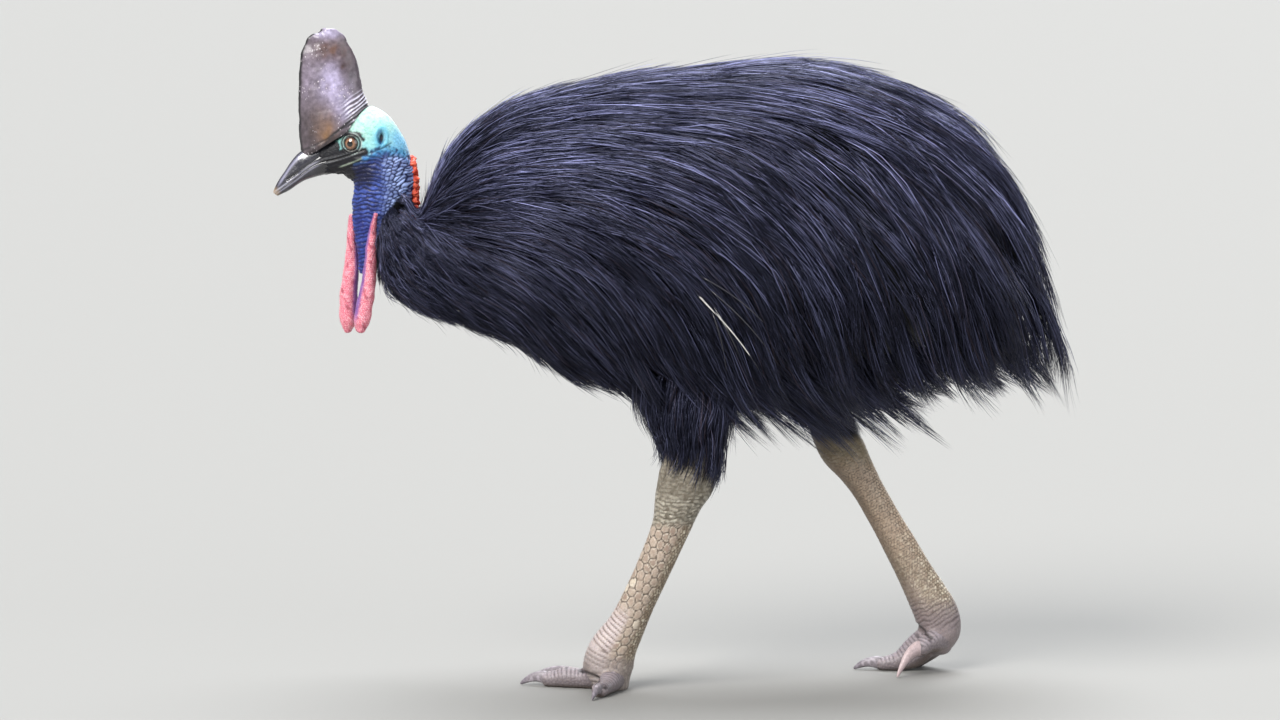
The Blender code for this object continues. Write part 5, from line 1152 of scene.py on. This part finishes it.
FRINGE = [(-0.480, 0.003), (-0.300, 0.014), (-0.210, 0.036), (-0.130, 0.068), (-0.050, 0.104), (0.100, 0.095),
          (0.230, 0.090), (0.290, 0.060), (0.360, 0.024), (0.560, 0.030)]
MARCH = 14


def lie(points, side):
    """The direction in which feathers run at each place."""
    spots = np.array(LIE)
    gap = ((points[:, None, [0, 2]] - spots[None, :, :2]) ** 2).sum(-1)
    weight = np.exp(-gap / (2 * spots[:, 3] ** 2)) / spots[:, 3] + 1e-12
    slope = np.radians(spots[:, 2])
    c, s = (weight * np.cos(slope)).sum(1), (weight * np.sin(slope)).sum(1)
    top, low = curve(COAT_BACK, points[:, 0]), curve(COAT_BELLY, points[:, 0])
    height = np.clip((points[:, 2] - low) / np.maximum(top - low, 0.02), 0, 1)
    flat = unit(np.stack([c, 0 * c, s], 1))
    off_middle = fade(np.abs(points[:, 1]), 0.01, 0.08) * fade(-points[:, 0], -0.42, -0.20)
    flat[:, 1] = side * 0.30 * height * off_middle - 0.20 * side * fade(points[:, 0], 0.40, 0.55)
    return unit(flat)


def tree_of(points, faces):
    return BVHTree.FromPolygons([tuple(p) for p in points], faces)


def nearest(tree, points):
    """The nearest place on a surface to each point, and the outward direction there."""
    found = [tree.find_nearest(tuple(p)) for p in points]
    return np.array([f[0] for f in found]), np.array([f[1] for f in found])


def outward_shell(rings):
    """A shell's points and faces, with the faces turned outwards."""
    points, faces = shell(rings)
    centre = points.mean(0)
    corners = points[np.array([face[:3] for face in faces])]
    facing = np.cross(corners[:, 1] - corners[:, 0], corners[:, 2] - corners[:, 0])
    if (facing * (corners[:, 0] - centre)).sum() < 0:
        faces = [face[::-1] for face in faces]
    return points, faces


def body_shell(back, belly, width, power):
    reach = np.linspace(0, np.pi, 110)
    stations = back[0][0] + (back[-1][0] - back[0][0]) * (1 - np.cos(reach)) / 2
    stations = stations[1:-1]
    return outward_shell(upright(stations, curve(back, stations), curve(belly, stations),
                                 np.maximum(curve(width, stations), 0.003), 72, power))


def barbs(name, lines, normals, count, spread, widths, shares, draw, spots):
    """One closed mesh of thin three-sided barbs, count to each feather line, with its own patch map."""
    feathers, steps = lines.shape[:2]
    mine = np.repeat(np.arange(feathers), count)
    total = len(mine)
    start = draw.uniform(0.0, 0.30, total) ** 1.2
    end = draw.uniform(*shares, total)
    t = start[:, None] + (end - start)[:, None] * np.linspace(0, 1, BARB_RINGS + 1) ** 0.9
    spot = np.clip(t, 0, 0.9999) * (steps - 1)
    i = spot.astype(int)
    share = (spot - i)[..., None]
    places = lines[mine[:, None], i] * (1 - share) + lines[mine[:, None], i + 1] * share
    up = unit(normals[mine[:, None], i] * (1 - share) + normals[mine[:, None], i + 1] * share)
    run = unit(np.gradient(places, axis=1))
    across = unit(np.cross(up, run))
    up = np.cross(run, across)
    aside = draw.uniform(-1.7, 1.7, total)
    above = draw.uniform(-1, 1, total)
    opening = spread * (1.0 - 0.30 * t)
    curl = draw.normal(0, 1, (total, 2))
    places = places + across * (aside[:, None] * opening + 0.004 * curl[:, :1] * np.sin(5 * t + curl[:, 1:]))[..., None]
    wild = 0.05 + 0.14 * fade(places[:, -1, 0], 0.46, 0.62)
    stray = (draw.uniform(0, 1, total) < wild) * draw.uniform(0.006, 0.024, total)
    places = places + up * (above[:, None] * 0.0035 * (1 + 0.8 * t) + stray[:, None] * t ** 2)[..., None]
    size = (draw.uniform(*widths, total) / 2)[:, None] * np.interp(np.linspace(0, 1, BARB_RINGS + 1),
                                                                   [0, 0.25, 0.75, 1.0], [0.7, 1.0, 0.75, 0.1])
    turn = np.radians([90.0, 210.0, 330.0])
    ring = (across[:, :, None] * np.cos(turn)[:, None] * size[..., None, None]
            + up[:, :, None] * np.sin(turn)[:, None] * 0.55 * size[..., None, None])
    rings = places[:, :-1, None] + ring[:, :-1]
    each = BARB_RINGS * 3 + 1
    points = np.concatenate([rings.reshape(total, -1, 3), places[:, -1:]], 1)
    k = np.arange(BARB_RINGS * 3).reshape(BARB_RINGS, 3)
    low, high = k[:-1], k[1:]
    quads = np.stack([low, np.roll(low, -1, 1), np.roll(high, -1, 1), high], -1).reshape(-1, 4)
    tips = np.stack([k[-1], np.roll(k[-1], -1), np.full(3, each - 1)], -1)
    caps = np.array([[0, 2, 1]])
    offset = (np.arange(total) * each)[:, None, None]
    quads = (quads[None] + offset).reshape(-1)
    thirds = (np.concatenate([tips, caps])[None] + offset).reshape(-1)
    mesh = bpy.data.meshes.new(name)
    mesh.vertices.add(total * each)
    mesh.vertices.foreach_set("co", points.astype(np.float32).ravel())
    corners = np.concatenate([quads, thirds]).astype(np.int32)
    mesh.loops.add(len(corners))
    mesh.loops.foreach_set("vertex_index", corners)
    starts = np.concatenate([np.arange(len(quads) // 4) * 4, len(quads) + np.arange(len(thirds) // 3) * 3])
    mesh.polygons.add(len(starts))
    mesh.polygons.foreach_set("loop_start", starts.astype(np.int32))
    mesh.update(calc_edges=True)
    mesh.shade_smooth()
    thing = bpy.data.objects.new(name, mesh)
    bpy.context.scene.collection.objects.link(thing)
    # Each barb's patch on the map lies at its root's own place on an unwrapped body.
    spots = (spots - spots.min(0)) / np.maximum(np.ptp(spots, axis=0), 1e-6) * 0.96 + 0.01
    patch = spots[mine] + draw.uniform(0, 0.010, (total, 2))
    inside = np.concatenate([np.stack([np.repeat(np.linspace(0, 0.003, BARB_RINGS), 3),
                                       np.tile([0.0, 0.0015, 0.003], BARB_RINGS)], 1), [[0.0032, 0.0015]]])
    uv = (patch[:, None] + inside[None]).reshape(-1, 2)
    layer = mesh.uv_layers.new(name="OFBake")
    layer.data.foreach_set("uv", uv[corners].astype(np.float32).ravel())
    # Painted highlight: some barbs are tinted a pale violet-blue that stands for their gleam, varied by feather and by
    # barb, stronger towards the tips and much stronger high on the body, where the light falls; a few barbs are rusty
    # brown.
    painted_gleam = draw.uniform(0, 1, total) ** 4 * (0.55 + 0.45 * np.repeat(draw.uniform(0, 1, feathers), count))
    along = np.concatenate([np.repeat(np.linspace(0, 1, BARB_RINGS + 1)[:-1], 3), [1.0]])
    painted_gleam = (painted_gleam[:, None] * (0.55 + 0.6 * along) * (0.30 + 1.2 * fade(points[:, :, 2], 0.58, 0.98))).ravel()
    rust = np.repeat(draw.uniform(0, 1, total) > 0.93, each)
    tone = np.tile(np.array(linear("#08090e")[:3]), (total * each, 1))
    tone = tint(tone, "#9a9dcc", painted_gleam)
    tone = tint(tone, "#3a2a24", rust * 0.5)
    set_tone(thing, tone)
    thing.data.materials.append(plumage)
    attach(thing, "root")
    return thing


# Feather barbs, oiled by preening: near-black, with a sharp silky gleam that turns violet-blue, partly painted into the
# barbs' colour as highlight.
plumage, tree, place = new_material("preened_feather_barbs")
barb_tone = add(tree, "ShaderNodeAttribute", attribute_name="tone").outputs["Color"]
drift = add(tree, "ShaderNodeTexNoise", {"Vector": place, "Scale": 14.0, "Detail": 3.0})
shade = add(tree, "ShaderNodeMapRange", {"Value": drift.outputs["Fac"], "From Min": 0.35, "From Max": 0.65,
                                         "To Min": 0.70, "To Max": 1.35})
mixed = add(tree, "ShaderNodeMix", {"Factor": 1.0, "A": barb_tone, "B": shade.outputs[0]},
            data_type="RGBA", blend_type="MULTIPLY")
colour = [s for s in mixed.outputs if s.type == "RGBA"][0]
close_material(tree, add(tree, "ShaderNodeBsdfPrincipled", {
    "Base Color": colour, "Roughness": 0.30, "IOR": 1.62, "Specular Tint": "#c9ceff"}))
draw = np.random.default_rng(23)
outer = tree_of(*body_shell(COAT_BACK, COAT_BELLY, COAT_WIDTH, 2.15))
root_back = [(-0.474, 0.700), (-0.472, 0.745), (-0.457, 0.806), (-0.4435, 0.817), (-0.4315, 0.798),
             (-0.424, 0.778), (-0.414, 0.774), (-0.404, 0.786)] + [spot for spot in BACK if spot[0] > -0.39]
root_width = [(-0.474, 0.000), (-0.470, 0.036), (-0.455, 0.050), (-0.440, 0.058)]
root_width += [spot for spot in WIDTH if spot[0] > -0.405]
core_points, core_faces = body_shell(root_back, BELLY, root_width, 2.15)
core = tree_of(core_points, core_faces)
corners = core_points[np.array([face[:3] for face in core_faces])]
more = core_points[np.array([face[-1] for face in core_faces])]
areas = (np.linalg.norm(np.cross(corners[:, 1] - corners[:, 0], corners[:, 2] - corners[:, 0]), axis=1)
         + np.linalg.norm(np.cross(corners[:, 2] - corners[:, 0], more - corners[:, 0]), axis=1)) / 2
crowding = np.interp(corners[:, 0, 0], [-0.48, -0.44, -0.38, -0.28, -0.16, 0.0, 0.6],
                     [9.0, 7.0, 4.5, 3.0, 1.8, 1.0, 1.0])
parting = np.exp(-((corners[:, 0, 2] - 0.775) / 0.030) ** 2) * fade(-corners[:, 0, 0], 0.22, 0.34)
low_edge = fade(curve(BELLY, corners[:, 0, 0]) - corners[:, 0, 2], -0.09, -0.03) * fade(corners[:, 0, 0], -0.30, -0.15)
crowding = crowding * (1 + 1.2 * parting + 1.0 * low_edge * fade(-corners[:, 0, 0], -0.30, -0.20))
picked = draw.choice(len(areas), FEATHERS, p=areas * crowding / (areas * crowding).sum())
a, b = draw.uniform(0, 1, (2, FEATHERS, 1))
roots = (corners[picked, 0] * (1 - a) + corners[picked, 1] * a) * (1 - b)
roots = roots + (more[picked] * (1 - a) + corners[picked, 2] * a) * b
side = np.where(roots[:, 1] < 0, LEFT, RIGHT)
lengths = curve(FEATHER_LENGTH, roots[:, 0]) * draw.uniform(0.85, 1.12, FEATHERS)
hang = roots[:, 2] - curve(COAT_BELLY, np.minimum(roots[:, 0] + 0.06, 0.60))
hang = hang + draw.exponential(0.9, FEATHERS).clip(0.25, 2.0) * curve(FRINGE, roots[:, 0])
lengths = np.minimum(lengths, np.maximum(hang / 0.90, 0.07))
lengths = lengths * (1 - 0.28 * draw.uniform(0, 1, FEATHERS) * fade(roots[:, 0], 0.42, 0.50))
final = draw.uniform(0, 1, FEATHERS) ** 0.55
drop = draw.uniform(0.5, 1.0, FEATHERS)
swerve = np.radians(draw.normal(0, 5, FEATHERS))
swerve[draw.uniform(0, 1, FEATHERS) < 0.05] *= 2.6
spots, normals = nearest(core, roots)
place = spots + normals * 0.001
lines, ups = [place], [normals]
low_down = fade(-normals[:, 2], -0.1, 0.6)
behind = fade(roots[:, 0], 0.46, 0.54)
loose = np.maximum(low_down * fade(roots[:, 0], -0.30, -0.05), behind)[:, None] * draw.uniform(0.3, 1, (FEATHERS, 1))
for step in range(1, MARCH + 1):
    t = step / MARCH
    spots, normals = nearest(outer, place)
    heading = lie(place, side)
    under = fade(-normals[:, 2], 0.45, 0.9)[:, None]
    heading = unit(heading * (1 - under) + np.array((0.86, 0.0, -0.5)) * under)
    heading[:, 0], heading[:, 2] = (heading[:, 0] * np.cos(swerve) - heading[:, 2] * np.sin(swerve),
                                    heading[:, 0] * np.sin(swerve) + heading[:, 2] * np.cos(swerve))
    turned_under = fade(-normals[:, 2], 0.0, 0.45) * fade(place[:, 0], -0.25, -0.05) * fade(np.array(t), 0.1, 0.4)
    free = np.maximum(loose * fade(np.array(t), 0.35, 0.8), (drop * turned_under)[:, None])
    lean = (heading * normals).sum(1)[:, None]
    heading = unit(heading - normals * lean * (1 - 0.8 * free) + np.array((0.0, 0.0, -0.5)) * free)
    place = place + heading * (lengths / MARCH)[:, None]
    out_spots, normals = nearest(outer, place)
    in_spots, in_normals = nearest(core, place)
    room = ((out_spots - place) * normals).sum(1)
    depth = np.linalg.norm(place - in_spots, axis=1) * np.sign(((place - in_spots) * in_normals).sum(1))
    want = (room + depth) * final * (1 - math.exp(-4 * t)) / (1 - math.exp(-4.0))
    move = np.clip(want - depth, -0.012, 0.012) * (1 - free[:, 0])
    place = place + normals * move[:, None]
    place[:, 1] = np.where(np.sign(place[:, 1]) == side, place[:, 1], place[:, 1] * 0.3)
    lines.append(place)
    ups.append(normals)
lines, ups = np.stack(lines, 1), np.stack(ups, 1)
girth = np.arctan2(np.abs(roots[:, 1]), roots[:, 2] - (curve(BACK, roots[:, 0]) + curve(BELLY, roots[:, 0])) / 2)
root_spots = np.stack([roots[:, 0], girth], 1)
for one, word in SIDES:
    ours = np.flatnonzero(side == one)
    ours = ours[np.argsort(roots[ours, 0])]
    for part, some in zip(("ruff", "shoulder", "flank", "rump"), np.array_split(ours, 4)):
        barbs(f"coat_{part}_{word}", lines[some], ups[some], BARBS,
              (0.0045 if part == "ruff" else 0.0085), ((0.0009, 0.0014) if part == "ruff" else (0.0011, 0.0018)),
              (0.80, 1.0), draw, root_spots[some])

# The thighs' feathers hang down over the hock, longest behind it.
DRAPE = {LEFT: [(0.030, 0.084, 0.570, 0.108, 0.052), (0.023, 0.090, 0.500, 0.100, 0.056),
                (0.025, 0.098, 0.440, 0.081, 0.053), (0.034, 0.103, 0.390, 0.056, 0.044),
                (0.027, 0.103, 0.350, 0.054, 0.041), (0.014, 0.101, 0.310, 0.046, 0.036)],
         RIGHT: [(0.166, 0.084, 0.580, 0.060, 0.044), (0.198, 0.091, 0.510, 0.062, 0.050),
                 (0.232, 0.099, 0.460, 0.055, 0.048), (0.262, 0.106, 0.412, 0.046, 0.041),
                 (0.282, 0.107, 0.378, 0.041, 0.036), (0.302, 0.105, 0.345, 0.034, 0.030)]}
THIGH_FEATHERS = 320
THIGH_BARBS = 13
BARE_FROM = {LEFT: (0.375, 0.335), RIGHT: (0.425, 0.405)}     # how low the feathers reach in front and behind
for one, word in SIDES:
    drape = np.array(on_side(DRAPE[one], one))
    along = np.concatenate([[0], np.cumsum(np.linalg.norm(np.diff(drape[:, :3], axis=0), axis=1))])
    starts = draw.uniform(0.0, along[3] - 0.01, THIGH_FEATHERS)
    turns = draw.uniform(0, 2 * np.pi, THIGH_FEATHERS)
    lowest = BARE_FROM[one][0] + (BARE_FROM[one][1] - BARE_FROM[one][0]) * (1 + np.cos(turns)) / 2
    lowest = np.interp(-lowest + draw.normal(0, 0.012, THIGH_FEATHERS), -drape[:, 2], along)
    starts = np.minimum(starts, lowest - 0.05)
    lengths = np.minimum(draw.uniform(0.085, 0.150, THIGH_FEATHERS), lowest - starts)
    out = draw.uniform(0.55, 1.0, THIGH_FEATHERS)
    lines, ups = [], []
    for step in range(MARCH + 1):
        t = step / MARCH
        at = np.minimum(starts + lengths * t, along[-1])
        row = np.stack([curve(np.stack([along, drape[:, k]], 1), at) for k in range(5)], 1)
        here = turns + 0.25 * t * np.sin(turns)
        grown = (0.62 + (out - 0.60) * (1 - math.exp(-3 * t)))[:, None]
        away = np.stack([np.cos(here) * row[:, 3], np.sin(here) * row[:, 4], 0 * here], 1)
        lines.append(row[:, :3] + away * grown)
        ups.append(unit(away))
    spots = np.stack([starts, turns], 1)
    barbs(f"coat_thigh_{word}", np.stack(lines, 1), np.stack(ups, 1), THIGH_BARBS, 0.007, (0.0012, 0.0019),
          (0.75, 1.0), draw, spots)
